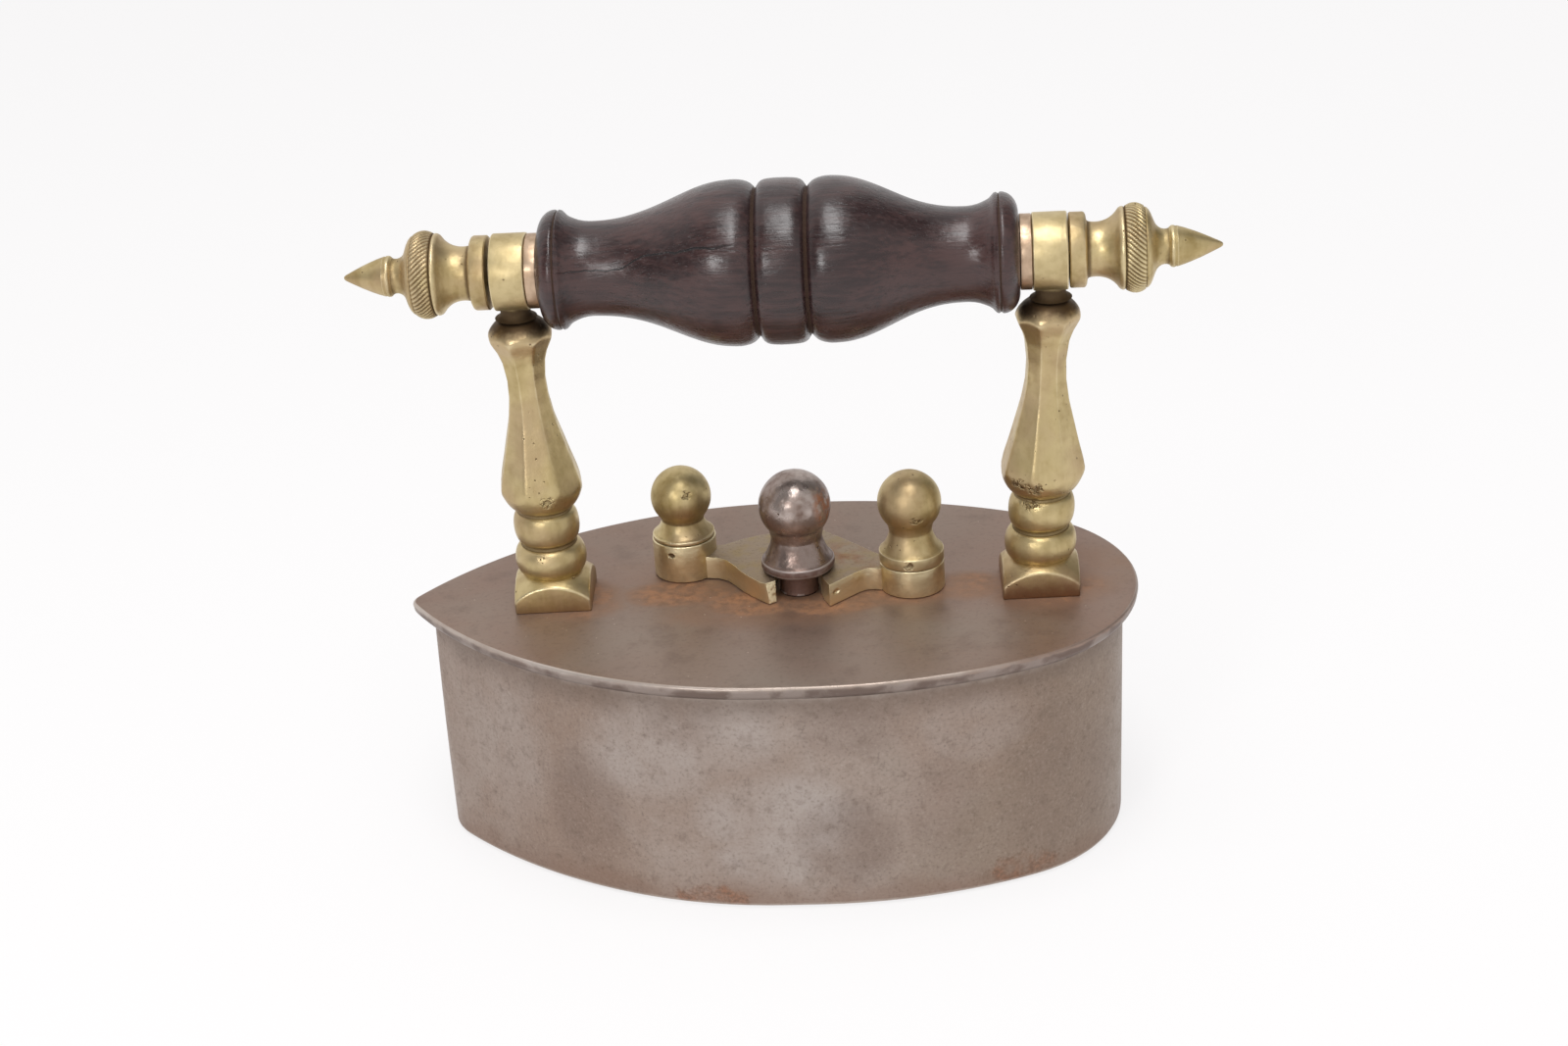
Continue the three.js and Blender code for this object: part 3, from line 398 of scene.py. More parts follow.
def latch_finish(name, settings, rust_color):
    """Cast brass: grey-brown on top, yellow on the filed sides and edges, with painted shade low on the sides
    and in the hollows by the bosses.
    """
    f = Finish(name)
    flat = f.level()
    boss_top = f.ramp(f.z, LID_TOP + 6.2, LID_TOP + 6.6)
    # Painted shade: the sides darker towards the lid
    low = f.ramp(f.z + f.sway(3, 0.4, 3), LID_TOP + 5.0, LID_TOP + 0.6)
    # Painted shade: reddish dark in the concave sides next to the bosses
    fillet_shade = f.places([((-17, -1, LID_TOP + 3), (7, 7, 9), 1), ((16.5, -4, LID_TOP + 3), (6, 7, 9), 1)])
    side = f.paint(
        f.mix(f.cloud(0.11, 4, 0.35, 0.65) * 0.75, settings.clean_color, settings.dull_color),
        (low * 0.65, settings.tarnish_and_shade_color),
        (fillet_shade * 0.55, settings.grime_and_shade_color),
    )
    stained = f.cloud(0.14, 4, 0.42, 0.62, shift=(3, 7, 1)) * f.near((5, 2, LID_TOP + 6), (17, 13, 6))
    top = f.paint(
        f.mix(f.cloud(0.25, 4, 0.4, 0.7, shift=(5, 5, 1)) * 0.5, settings.patina_color, settings.dull_color),
        (stained * 0.55, rust_color),
        (f.cloud(1.2, 4, 0.52, 0.7, shift=(1, 5, 1)) * 0.3, settings.tarnish_and_shade_color),
    )
    rubbed = f.ramp(f.relief() + f.sway(0.2, 0.5, 3), 0.62, 0.9) * (1.0 - f.level(0.95, 0.985, 0))
    pit = f.near((-30.9, 4.9, LID_TOP + 7.4), (1.0, 0.9, 0.75))
    nick = f.near((9.5, -9.2, LID_TOP + 3.4), (1.2, 1.2, 0.7))
    broken = f.ramp(f.x * 0.55 - f.y * 0.83, 3.05, 3.15) * f.ramp(f.x, -3.0, -3.4)
    broken = broken * f.cloud(0.9, 3, 0.35, 0.55)
    color = f.paint(
        f.mix(flat * (1.0 - boss_top * 0.55), side, top),
        (rubbed * 0.85, settings.worn_color),
        (pit * 0.85, settings.tarnish_and_shade_color),
        (broken * 0.9, settings.worn_color),
    )
    bumps = [
        (f.noise(0.4, 4, shift=(6, 2, 3)), 0.3, 0.6),
        (f.noise(1.1, 2, stretch=(0.4, 0.4, 2.2), distortion=0.4), 0.05, 0.6),
        ((pit + nick) * -1.0, 0.6, 1.0),
        (broken * f.noise(2.0, 3), 0.2, 0.8),
    ]
    return f.finish(color, 0.36 + flat * 0.2 + low * 0.15 + broken * 0.2, bumps, 1.0 - broken * 0.7)


def copper_finish(name, settings):
    """Worn copper washer."""
    f = Finish(name)
    cloud = f.cloud(0.3, 4, 0.38, 0.66, shift=(4, 2, 8))
    color = f.mix(cloud, settings.copper_color, settings.copper_dull_color)
    return f.finish(color, 0.34 + cloud * 0.14, [(f.noise(0.9, 3), 0.06, 0.6)])


def lid_finish(name, settings):
    """Steel lid: brown film, a painted grey sheen at the front middle, orange rust round what is screwed to
    it.
    """
    f = Finish(name)
    cloud = f.cloud(0.022, 5, 0.38, 0.64, distortion=0.6, shift=(2, 9, 0))
    mottle = f.noise(0.12, 6, shift=(8, 3, 0))
    # Painted sheen: greyer, lighter metal at the front middle of the lid
    front = f.ramp(f.y + (mottle - 0.5) * 26, -8.0, -34.0) * f.ramp(f.x * f.x, 4200.0, 600.0)
    rust_places = [
        ((-29, -1, LID_TOP), (19, 10, 8), 1.0),
        ((-10, -7, LID_TOP), (18, 9.5, 8), 1.0),
        ((8, -8, LID_TOP), (17, 9, 8), 1.0),
        ((24, -4, LID_TOP), (18, 9, 8), 0.9),
        ((40, -1, LID_TOP), (15, 10, 8), 0.8),
        ((-8, -9, LID_TOP), (42, 15, 8), 0.55),
        ((PILLAR_X["nose"] + 5, -3, LID_TOP), (18, 16, 8), 0.75),
        ((PILLAR_X["heel"] + 2, -2, LID_TOP), (21, 16, 8), 0.8),
        ((70, 8, LID_TOP), (18, 18, 8), 0.5),
        ((-30, 8, LID_TOP), (26, 16, 8), 0.35),
    ]
    rusty = f.places(rust_places)
    grit = f.noise(0.5, 6, shift=(1, 1, 5))
    stain = f.ramp(rusty + f.sway(0.9, 0.09, 5, shift=(5, 5, 0)), 0.05, 0.95)
    blot = f.sway(1.2, 0.11, 6, shift=(4, 1, 6))
    rust = f.ramp(rusty * 0.85 + (grit - 0.5) * 0.45 + blot, 0.4, 1.15) * stain
    bright = f.spots(0.30, 0.03, 0.075, shift=(3, 1, 0)) * f.cloud(0.1, 2, 0.45, 0.6, shift=(4, 4, 1))
    patches = f.cloud(0.035, 3, 0.4, 0.62, shift=(3, 3, 9))
    left = f.ramp(f.x, 40.0, -20.0)
    worn = f.ramp(f.relief() + f.sway(0.3, 0.25, 4), 0.6, 0.92) * (0.2 + patches * 0.5 + left * 0.3)
    worn = worn * (1.0 - f.level(0.95, 0.985, 0)) * f.ramp(f.z, LID_TOP - 1.9, LID_TOP - 0.7)
    edge = f.ramp(f.z + f.sway(1.5, 0.3, 4, shift=(2, 6, 4)), LID_TOP - 0.35, LID_TOP - 1.0)
    color = f.paint(
        f.mix(cloud * 0.5 + front * 0.45, settings.lid_color, settings.lid_metal_and_sheen_color),
        (f.ramp(mottle, 0.5, 0.78) * 0.35, (0.12, 0.078, 0.06)),
        (f.cloud(0.9, 5, 0.5, 0.72, shift=(7, 7, 1)) * 0.22, (0.13, 0.08, 0.06)),
        (stain * 0.7, (0.29, 0.165, 0.10)),
        (rust * 0.85, f.mix(f.cloud(0.45, 6, 0.36, 0.66), (0.44, 0.21, 0.10), (0.21, 0.11, 0.06))),
        (bright * 0.6, (0.62, 0.52, 0.42)),
        (edge * 0.8, f.mix(f.ramp(mottle, 0.42, 0.58), (0.13, 0.092, 0.078), (0.28, 0.23, 0.205))),
        (worn * 0.8, (0.60, 0.53, 0.48)),
    )
    roughness = 0.43 + cloud * 0.06 + stain * 0.14 + rust * 0.16 - worn * 0.1
    bumps = [(f.noise(0.07, 3), 0.35, 0.35), (grit, 0.09, 0.5), (rust * f.noise(1.3, 4), 0.25, 0.7)]
    return f.finish(color, roughness, bumps, 0.72 - stain * 0.3 - rust * 0.3)


def wall_finish(name, settings):
    """Steel wall: cloudy grey-brown, pitted, with rust along its lower edge, and painted reflections and
    shade.
    """
    f = Finish(name)
    cloud = f.cloud(0.026, 5, 0.40, 0.62, shift=(5, 2, 7), distortion=0.5)
    patch = f.cloud(0.065, 5, 0.45, 0.68, shift=(1, 8, 2), distortion=0.8)
    mottle = f.noise(0.35, 6, shift=(9, 1, 4))
    grain = f.noise(1.3, 5, shift=(3, 2, 1), roughness=0.65)
    # Painted sheen: lighter metal towards the middle of the wall
    centre = f.ramp(f.x * f.x, 2600.0, 100.0)
    # Painted shade: the wall darker, a little browner, towards the heel, away from the key lamp
    heel = f.ramp(f.x + (cloud - 0.5) * 30, 18.0, 60.0)
    uneven = f.sway(2.2, 0.07, 6, shift=(4, 4, 9))
    # Painted reflections: lighter patches where the steel wall mirrors the room
    bright = f.places([
        ((-35, -41, 41), (20, 30, 17), 0.7),
        ((-5, -45, 25), (24, 30, 14), 0.8),
        ((-16, -45, 46), (17, 30, 12), 0.6),
        ((-9, -46, 13), (15, 30, 10), 0.7),
        ((-70, -22, 33), (14, 30, 24), 0.25),
        ((42, -40, 45), (15, 30, 11), 0.4),
    ])
    # Painted shade: darker patches on the wall
    painted_shade_patches = f.places([
        ((11, -45, 18), (15, 30, 15), 0.8),
        ((13, -45, 48), (15, 30, 9), 0.6),
        ((61, -30, 25), (20, 30, 30), 0.5),
        ((-51, -34, 23), (12, 30, 20), 0.7),
        ((-27, -43, 50), (12, 30, 8), 0.4),
        ((34, -42, 25), (12, 30, 16), 0.4),
    ])
    pits = f.spots(0.75, 0.02, 0.10, shift=(2, 2, 2)) * f.cloud(0.11, 3, 0.62, 0.74, shift=(2, 7, 1))
    # Painted shade: the top of the wall darker under the lid
    under_lid_shade = f.ramp(f.z + f.sway(7, 0.12, 3), 48.0, 57.0)
    low = f.ramp(f.z + f.sway(14, 0.09, 4, shift=(3, 3, 3)), 10.0, 1.5)
    rust = f.places([((-23, -45, 3), (13, 11, 5), 1), ((50, -34, 5), (13, 12, 7), 1)])
    speckle = f.sway(1.6, 0.22, 4, shift=(6, 6, 6))
    rust = f.ramp(rust * 0.75 + low * 0.25 + speckle + (grain - 0.5) * 0.9, 0.55, 1.15)
    worn = f.ramp(f.relief() + f.sway(0.2, 0.3, 4), 0.6, 0.86)
    color = f.paint(
        f.mix(cloud * 0.35 + patch * 0.2 + centre * 0.25, settings.wall_color, settings.wall_metal_and_sheen_color),
        (heel * 0.5, (0.225, 0.165, 0.115)),
        (bright * (0.5 + uneven * 0.6), (0.47, 0.425, 0.40)),
        (painted_shade_patches * (0.5 - uneven * 0.6), (0.19, 0.135, 0.11)),
        (f.ramp(mottle, 0.5, 0.76) * 0.3, (0.15, 0.105, 0.08)),
        (f.ramp(grain, 0.5, 0.74) * 0.45, (0.13, 0.092, 0.07)),
        (f.ramp(grain, 0.46, 0.28) * 0.15, (0.60, 0.53, 0.48)),
        (pits * 0.4, (0.085, 0.055, 0.04)),
        (under_lid_shade * 0.6, (0.17, 0.125, 0.10)),
        (low * 0.45, (0.225, 0.135, 0.095)),
        (rust * 0.65, f.mix(f.ramp(grain, 0.4, 0.6), settings.rust_color, (0.17, 0.085, 0.05))),
        (worn * 0.5, (0.58, 0.52, 0.47)),
    )
    roughness = 0.40 + patch * 0.08 + rust * 0.25 + f.ramp(mottle, 0.5, 0.8) * 0.1 + (grain - 0.5) * 0.25
    bumps = [
        (f.noise(0.035, 2, shift=(1, 6, 3)), 0.8, 0.3),
        (mottle, 0.07, 0.45),
        (grain, 0.07, 0.6),
        (f.noise(0.5, 4, stretch=(0.5, 0.5, 1.6), shift=(6, 4, 1)), 0.03, 0.4),
        (pits * -1.0, 0.15, 0.7),
    ]
    return f.finish(color, roughness, bumps, 0.78 - rust * 0.5)


def lock_finish(name, settings):
    """Pitted steel knob with bright worn rims, a dark rusty stem and painted shade in the cove under the
    ball.
    """
    f = Finish(name)
    cloud = f.cloud(0.14, 5, 0.38, 0.64, distortion=0.5, shift=(1, 2, 3))
    mottle = f.cloud(0.55, 6, 0.42, 0.7, shift=(9, 2, 1))
    left = f.ramp(f.x + f.sway(8, 0.2, 3, shift=(2, 2, 5)), 0.0, -7.0)
    # Painted shade: the cove under the ball darker
    cove = f.ramp(f.z + f.sway(4, 0.3, 3), LID_TOP + 16.5, LID_TOP + 13.0)
    rust = f.near((7.2, -4.2, LID_TOP + 23), (4, 4.5, 7)) * f.cloud(0.5, 5, 0.38, 0.58)
    stem = f.ramp(f.z, LID_TOP + 9.2, LID_TOP + 8.2)
    worn = f.ramp(f.relief() + f.sway(0.3, 0.7, 4), 0.66, 0.9) * (1.0 - stem * 0.6)
    pits = f.spots(0.5, 0.05, 0.2) * f.cloud(0.2, 2, 0.45, 0.62, shift=(3, 1, 7))
    color = f.paint(
        settings.lock_color,
        (cloud * 0.55 + mottle * 0.4, (0.20, 0.135, 0.108)),
        (left * 0.45, (0.17, 0.10, 0.08)),
        (cove * 0.7, (0.20, 0.14, 0.118)),
        (rust * 0.85, settings.rust_color),
        (stem * 0.8, (0.13, 0.062, 0.045)),
        (worn * 0.7, (0.74, 0.69, 0.66)),
        (pits * 0.6, (0.12, 0.08, 0.065)),
    )
    roughness = 0.27 + mottle * 0.12 + cloud * 0.06 + stem * 0.2 + rust * 0.3
    dents = f.noise(0.28, 4, shift=(3, 6, 2))
    bumps = [(dents, 0.4, 0.6), (f.noise(1.0, 4), 0.06, 0.6), (pits * -1.0, 0.25, 0.8)]
    return f.finish(color, roughness, bumps, 0.95 - stem * 0.35 - rust * 0.5)


def inner_finish(name, settings):
    """Steel darkened by the heat of the slug, with some rust."""
    f = Finish(name)
    cloud = f.cloud(0.06, 5, 0.4, 0.65)
    grit = f.noise(0.6, 6, shift=(2, 2, 2))
    color = f.mix(cloud, settings.inner_color, (0.17, 0.135, 0.115))
    color = f.mix(f.ramp(grit, 0.55, 0.75) * 0.45, color, (0.19, 0.085, 0.04))
    return f.finish(color, 0.55 + cloud * 0.12, [(grit, 0.12, 0.6)], 0.6)


def slug_finish(name, settings):
    """Cast iron, rough from the mould and scaled by the fire."""
    f = Finish(name)
    scaled = f.cloud(0.09, 7, 0.38, 0.66, roughness=0.7)
    grit = f.noise(0.7, 6)
    color = f.mix(scaled, settings.slug_color, (0.10, 0.085, 0.078))
    color = f.mix(f.ramp(grit, 0.56, 0.75) * 0.5, color, (0.16, 0.07, 0.035))
    return f.finish(color, 0.72 + scaled * 0.1, [(f.noise(0.2, 4), 0.5, 0.6), (grit, 0.25, 0.8)], 0.35)


def wood_finish(name, settings):
    """Dark wood with fine grain along the handle, dirt in the grooves and one old crack."""
    f = Finish(name)
    layers = f.y * 0.35 + f.z * 0.9 + f.sway(22, 0.035, 3, stretch=(0.35, 1, 1))
    rings = f.math("SINE", layers * 2.1) * 0.5 + 0.5
    streak = f.noise(1.25, 5, stretch=(0.07, 1, 1), shift=(3, 5, 7))
    pores = f.cloud(2.6, 3, 0.60, 0.70, stretch=(0.06, 1, 1), shift=(9, 1, 2))
    cloud = f.cloud(0.045, 3, 0.38, 0.66, shift=(7, 7, 2))
    dirt = f.ramp(f.relief() + f.sway(0.15, 0.5, 3), 0.42, 0.2)
    around = f.math("ARCTAN2", f.z - HANDLE_Z, f.y * -1.0)
    wander = f.ramp(f.x, -36.0, -29.0) * 0.24 + f.sway(0.14, 0.2, 2, stretch=(1, 0.1, 0.1))
    off = f.math("ABSOLUTE", around - (wander + 0.30))
    ends = f.ramp(f.x, -51.0, -45.0) * f.ramp(f.x, -8.0, -14.0)
    broken = f.cloud(0.35, 3, 0.3, 0.42, stretch=(1, 0.2, 0.2), shift=(1, 0, 0))
    crack = f.ramp(off, 0.020, 0.004) * ends * broken
    share = f.ramp(rings * 0.12 + streak * 0.85 + cloud * 0.3, 0.38, 0.86)
    color = f.paint(
        f.mix(share, settings.wood_color, settings.grain_color),
        (pores * 0.55, (0.015, 0.008, 0.008)),
        (dirt * 0.75, settings.groove_color),
        (crack * 0.9, (0.006, 0.004, 0.005)),
    )
    handled = f.cloud(0.09, 4, 0.4, 0.65, shift=(2, 3, 9))
    roughness = 0.27 + handled * 0.1 + (streak - 0.5) * 0.25 + pores * 0.1 + dirt * 0.3
    bumps = [
        (f.noise(0.22, 3, shift=(4, 1, 1)), 0.3, 0.6),
        (f.noise(0.8, 4, stretch=(0.3, 1, 1), shift=(2, 7, 5)), 0.12, 0.6),
        (streak, 0.14, 0.7),
        (f.noise(1.6, 3, stretch=(0.25, 1, 1), shift=(5, 1, 3)), 0.06, 0.7),
        (pores * -1.0, 0.05, 0.6),
        (crack * -1.0, 0.5, 1.0),
    ]
    return f.finish(color, roughness, bumps, 0.0, 0.2)


# Shapes


def lathe(profile, steps=96, closed=False):
    """Turns a profile of (radius, height) pairs about Z."""
    bm = bmesh.new()
    chain = [bm.verts.new((radius * MM, 0, height * MM)) for radius, height in profile]
    edges = [bm.edges.new(pair) for pair in zip(chain, chain[1:])]
    if closed:
        edges.append(bm.edges.new((chain[-1], chain[0])))
    bmesh.ops.spin(
        bm, geom=chain + edges, cent=(0, 0, 0), axis=(0, 0, 1), angle=math.tau, steps=steps, use_merge=True
    )
    bmesh.ops.remove_doubles(bm, verts=bm.verts, dist=1e-7)
    bmesh.ops.recalc_face_normals(bm, faces=bm.faces)
    return bm


def tube(bore, radius, bottom, top, steps=96):
    """A flat-ended tube about Z."""
    return lathe([(bore, bottom), (radius, bottom), (radius, top), (bore, top)], steps, True)


def rod(radius, bottom, top, steps=32):
    """A flat-ended rod about Z."""
    return lathe([(0, bottom), (radius, bottom), (radius, top), (0, top)], steps)


def threaded(radius, bottom, end):
    """A shank about Z with a thread below the lid, closed by its last points."""
    pitch = 0.7
    profile = [(0, bottom), (radius - 0.5, bottom)]
    height = bottom + 0.3
    while height < LID_BOTTOM:
        profile += [(radius, height), (radius - pitch / 2, height + pitch / 2)]
        height += pitch
    return lathe([*profile, (radius, height + 0.1), *end], 32)


def block(width, depth, height):
    """A block round the origin."""
    bm = bmesh.new()
    bmesh.ops.create_cube(bm, size=1)
    bmesh.ops.scale(bm, vec=(width * MM, depth * MM, height * MM), verts=bm.verts)
    return bm


def bevel(bm, edges, width, segments):
    """Rounds some edges."""
    bmesh.ops.bevel(
        bm, geom=edges, offset=width * MM, offset_type="OFFSET", affect="EDGES", segments=segments,
        profile=0.5, material=-1, clamp_overlap=True,
    )


def soften(bm, width, angle=28, segments=2):
    """Rounds every edge that is sharper than an angle in degrees."""
    paired = [edge for edge in bm.edges if len(edge.link_faces) == 2]
    bevel(bm, [edge for edge in paired if edge.calc_face_angle(0) > math.radians(angle)], width, segments)


def move(bm, x=0, y=0, z=0):
    bmesh.ops.translate(bm, vec=Vector((x, y, z)) * MM, verts=bm.verts)
    return bm


def turned(bm, angle, axis="Z"):
    """Turns a piece by degrees round an axis through the origin."""
    turn = Matrix.Rotation(math.radians(angle), 3, axis)
    bmesh.ops.rotate(bm, cent=(0, 0, 0), matrix=turn, verts=bm.verts)
    return bm


def lay_along_x(bm, side=1):
    """Turns a piece that was made along Z so that it lies along X."""
    return turned(bm, side * 90, "Y")


def wobble(bm, amount, size):
    """Makes a surface slightly uneven, as old hand work is."""
    bm.normal_update()
    for vert in bm.verts:
        vert.co += vert.normal * (noise.noise(vert.co / (size * MM)) * amount * MM)


def widen(vert, share):
    """Moves a point out from the Z axis by a share of its distance."""
    vert.co.x *= share
    vert.co.y *= share


def joined(*parts):
    """One bmesh that holds several."""
    whole = bmesh.new()
    for part in parts:
        mesh = bpy.data.meshes.new("part")
        part.to_mesh(mesh)
        part.free()
        whole.from_mesh(mesh)
        bpy.data.meshes.remove(mesh)
    return whole


def cut(bm, *cutters):
    """Takes the cutters away from a solid."""
    objects = []
    for part in (bm, joined(*cutters)):
        mesh = bpy.data.meshes.new("part")
        part.to_mesh(mesh)
        part.free()
        objects.append(bpy.data.objects.new("part", mesh))
        bpy.context.collection.objects.link(objects[-1])
    modifier = objects[0].modifiers.new("cut", "BOOLEAN")
    modifier.operation = "DIFFERENCE"
    modifier.solver = "EXACT"
    modifier.object = objects[1]
    result = bmesh.new()
    result.from_object(objects[0], bpy.context.evaluated_depsgraph_get())
    if not result.faces or not all(edge.is_manifold for edge in result.edges):
        raise RuntimeError("a cut left no closed solid")
    for item in objects:
        mesh = item.data
        bpy.data.objects.remove(item)
        bpy.data.meshes.remove(mesh)
    return result


def mark_relief(bm):
    """Stores on each vertex how the surface bulges or hollows, from 0 to 1."""
    layer = bm.verts.layers.float.new("relief")
    values = {}
    for vert in bm.verts:
        bend = 0.0
        for edge in vert.link_edges:
            if len(edge.link_faces) == 2:
                first, second = edge.link_faces
                across = (first.calc_center_median() - second.calc_center_median()).length / MM
                bend += edge.calc_face_angle_signed(0) / max(across, 0.05)
        values[vert] = bend / max(len(vert.link_edges), 1)
    for step in range(2):
        smooth = {}
        for vert in bm.verts:
            around = sum(values[edge.other_vert(vert)] for edge in vert.link_edges)
            smooth[vert] = 0.5 * values[vert] + 0.5 * around / max(len(vert.link_edges), 1)
        values = smooth
    for vert in bm.verts:
        vert[layer] = 0.5 + 0.5 * math.tanh(values[vert] * 1.6)


def add_piece(bm, name, node, material, sharp=42):
    """Makes a bmesh the piece that stands for a node and moves with the node's body."""
    mark_relief(bm)
    mesh = bpy.data.meshes.new(name)
    bm.to_mesh(mesh)
    bm.free()
    mesh.shade_smooth()
    mesh.set_sharp_from_angle(angle=math.radians(sharp))
    mesh.materials.append(material)
    piece = bpy.data.objects.new(name, mesh)
    bpy.context.collection.objects.link(piece)
    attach(piece, BODY_OF[node])
    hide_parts(node)


def dress_node(node, material):
    """Gives a node that keeps its own shape a new material."""
    for slot in frame["nodes"][node].material_slots:
        slot.material = material


def blend(start, end, steps, lean=1.0):
    """Points of (radius, height) on a smooth run, level at both ends, without its ends."""
    points = []
    for index in range(1, steps):
        share = index / steps
        rise = (1 - math.cos(math.pi * share**lean)) / 2
        points.append((start[0] + (end[0] - start[0]) * rise, start[1] + (end[1] - start[1]) * share))
    return points


def bead(centre, half, neck, radius, steps=16):
    """Points of a half ellipse that stands out of a neck."""
    angles = [math.pi * (index / steps - 0.5) for index in range(steps + 1)]
    return [(neck + (radius - neck) * math.cos(angle), centre + half * math.sin(angle)) for angle in angles]


def softer_min(first, second, reach):
    """The smaller of two numbers, rounded where they are nearly the same."""
    overlap = max(reach - abs(first - second), 0) / reach
    return min(first, second) - overlap * overlap * reach / 4


# Box and lid

LID_TIP = 4  # radius of the lid's tip
NOSE_RADIUS = 107.0  # radius of the two arcs that meet at the tip
STRAIGHT = 8  # straight run on each side, behind the nose arcs
HEEL_DROP = 7.9  # by which the heel's radius is less than half the width
WALL = 3.0  # thickness of the wall
SEAT_GAP = 0.3  # clearance between two pieces that are fitted together
SOLE_TOP = 8.0


def iron_outline(bm, inset, tip_radius, height):
    """Adds half of the iron's outline, drawn in by an inset, as a chain of edges at a height."""
    low, high = span("lid_plate")
    half_width = high.y
    centre_y = half_width - NOSE_RADIUS
    nose_x = low.x + LID_TIP + math.sqrt((NOSE_RADIUS - LID_TIP) ** 2 - centre_y**2)
    rear_x = nose_x + STRAIGHT
    heel_radius = half_width - HEEL_DROP
    heel_x = high.x - heel_radius
    rear_radius = ((heel_x - rear_x) ** 2 + half_width**2 - heel_radius**2) / (2 * HEEL_DROP)
    tip_x = nose_x - math.sqrt((NOSE_RADIUS - inset - tip_radius) ** 2 - centre_y**2)
    tip_angle = math.atan2(-centre_y, tip_x - nose_x)
    heel_angle = math.atan2(rear_radius - half_width, heel_x - rear_x)
    last = bm.verts.new(((tip_x - tip_radius) * MM, 0, height * MM))

    def turn(start, centre_x, centre_y, angle, steps):
        made = bmesh.ops.spin(
            bm, geom=[start], cent=(centre_x * MM, centre_y * MM, height * MM), axis=(0, 0, 1),
            angle=angle, steps=steps,
        )
        return next(item for item in made["geom_last"] if isinstance(item, bmesh.types.BMVert))

    last = turn(last, tip_x, 0, tip_angle - math.pi, 6)
    last = turn(last, nose_x, centre_y, math.pi / 2 - tip_angle, 40)
    made = bmesh.ops.extrude_vert_indiv(bm, verts=[last])
    bmesh.ops.translate(bm, vec=(STRAIGHT * MM, 0, 0), verts=made["verts"])
    last = turn(made["verts"][0], rear_x, half_width - rear_radius, heel_angle - math.pi / 2, 20)
    turn(last, heel_x, 0, -heel_angle, 22)


def shell_between(rings, closed):
    """A solid skinned over rings of (inset, tip radius, height). A closed one ends in its first ring."""
    bm = bmesh.new()
    loops = []
    for inset, tip_radius, height in rings:
        old_edges = set(bm.edges)
        old_verts = set(bm.verts)
        iron_outline(bm, inset, tip_radius, height)
        edges = [edge for edge in bm.edges if edge not in old_edges]
        verts = [vert for vert in bm.verts if vert not in old_verts]
        bmesh.ops.mirror(bm, geom=verts + edges, axis="Y", merge_dist=1e-5, matrix=Matrix.Identity(4))
        loops.append([edge for edge in bm.edges if edge not in old_edges])
    for first, second in zip(loops, loops[1:] + loops[:1] if closed else loops[1:]):
        bmesh.ops.bridge_loops(bm, edges=first + second)
    if not closed:
        for loop in (loops[0], loops[-1]):
            bmesh.ops.edgeloop_fill(bm, edges=loop)
    bmesh.ops.recalc_face_normals(bm, faces=bm.faces)
    return bm


def wall_inset(height):
    """From the lid's outline in to the outside of the wall."""
    return 4.7 - height / WALL_TOP


def wall_tip(height):
    """Radius of the wall's tip, which is rounder at its foot."""
    return 14 - 8 * height / WALL_TOP


def fill_nose(bm):
    """Keeps the rounder foot of the nose as far forward as the top."""
    for vert in bm.verts:
        share = max(-40 - vert.co.x / MM, 0) / 44
        vert.co.x -= 3.4 * MM * share * share * (1 - vert.co.z / MM / WALL_TOP)
    return bm


def make_lid():
    """Lid plate with its rounded, undercut edge and the holes for what passes through it."""
    thickness = LID_TOP - LID_BOTTOM
    undercut = 2.0
    easing = 0.75
    rings = [(undercut, LID_TIP, LID_BOTTOM)]
    for share, rise in ((0.72, 0.08), (0.5, 0.18), (0.28, 0.32), (0.12, 0.48)):
        rings.append((undercut * share, LID_TIP, LID_BOTTOM + thickness * rise))
    for angle in (0, 25, 50, 75, 90):
        turn = math.radians(angle)
        rings.append((easing * (1 - math.cos(turn)), LID_TIP, LID_TOP - easing * (1 - math.sin(turn))))
    rings.append((4.0, LID_TIP, LID_TOP))
    holes = [
        move(rod(radius, LID_BOTTOM - 2, LID_TOP + 2), x)
        for x, radius in ((0, 4.55), (PIVOT_X, 3.3), (PILLAR_X["nose"], 3.5), (PILLAR_X["heel"], 3.5))
    ]
    return cut(shell_between(rings, False), *holes)


def make_wall():
    """Wall of the box, open at both ends, with eased rims."""
    top = wall_inset(WALL_TOP)
    foot = wall_inset(0)
    rings = [(foot + 0.9, 13.5, 0.6), (foot + 0.35, 14, 0.75), (wall_inset(1) + 0.05, 14, 1.3)]
    rows = 22
    for row in range(rows + 1):
        height = 1.8 + (WALL_TOP - 0.5 - 1.8) * row / rows
        rings.append((wall_inset(height), wall_tip(height), height))
    rings += [(top + 0.15, 6, WALL_TOP - 0.12), (top + 0.5, 5.7, WALL_TOP)]
    rings += [(top + WALL - 0.4, 3.9, WALL_TOP), (top + WALL, 3.5, WALL_TOP - 0.4)]
    for row in range(1, 6):
        height = WALL_TOP - 0.4 - (WALL_TOP - 1.0) * row / 5
        rings.append((wall_inset(height) + WALL, wall_tip(height) - WALL, max(height, 0.6)))
    return fill_nose(shell_between(rings, True))


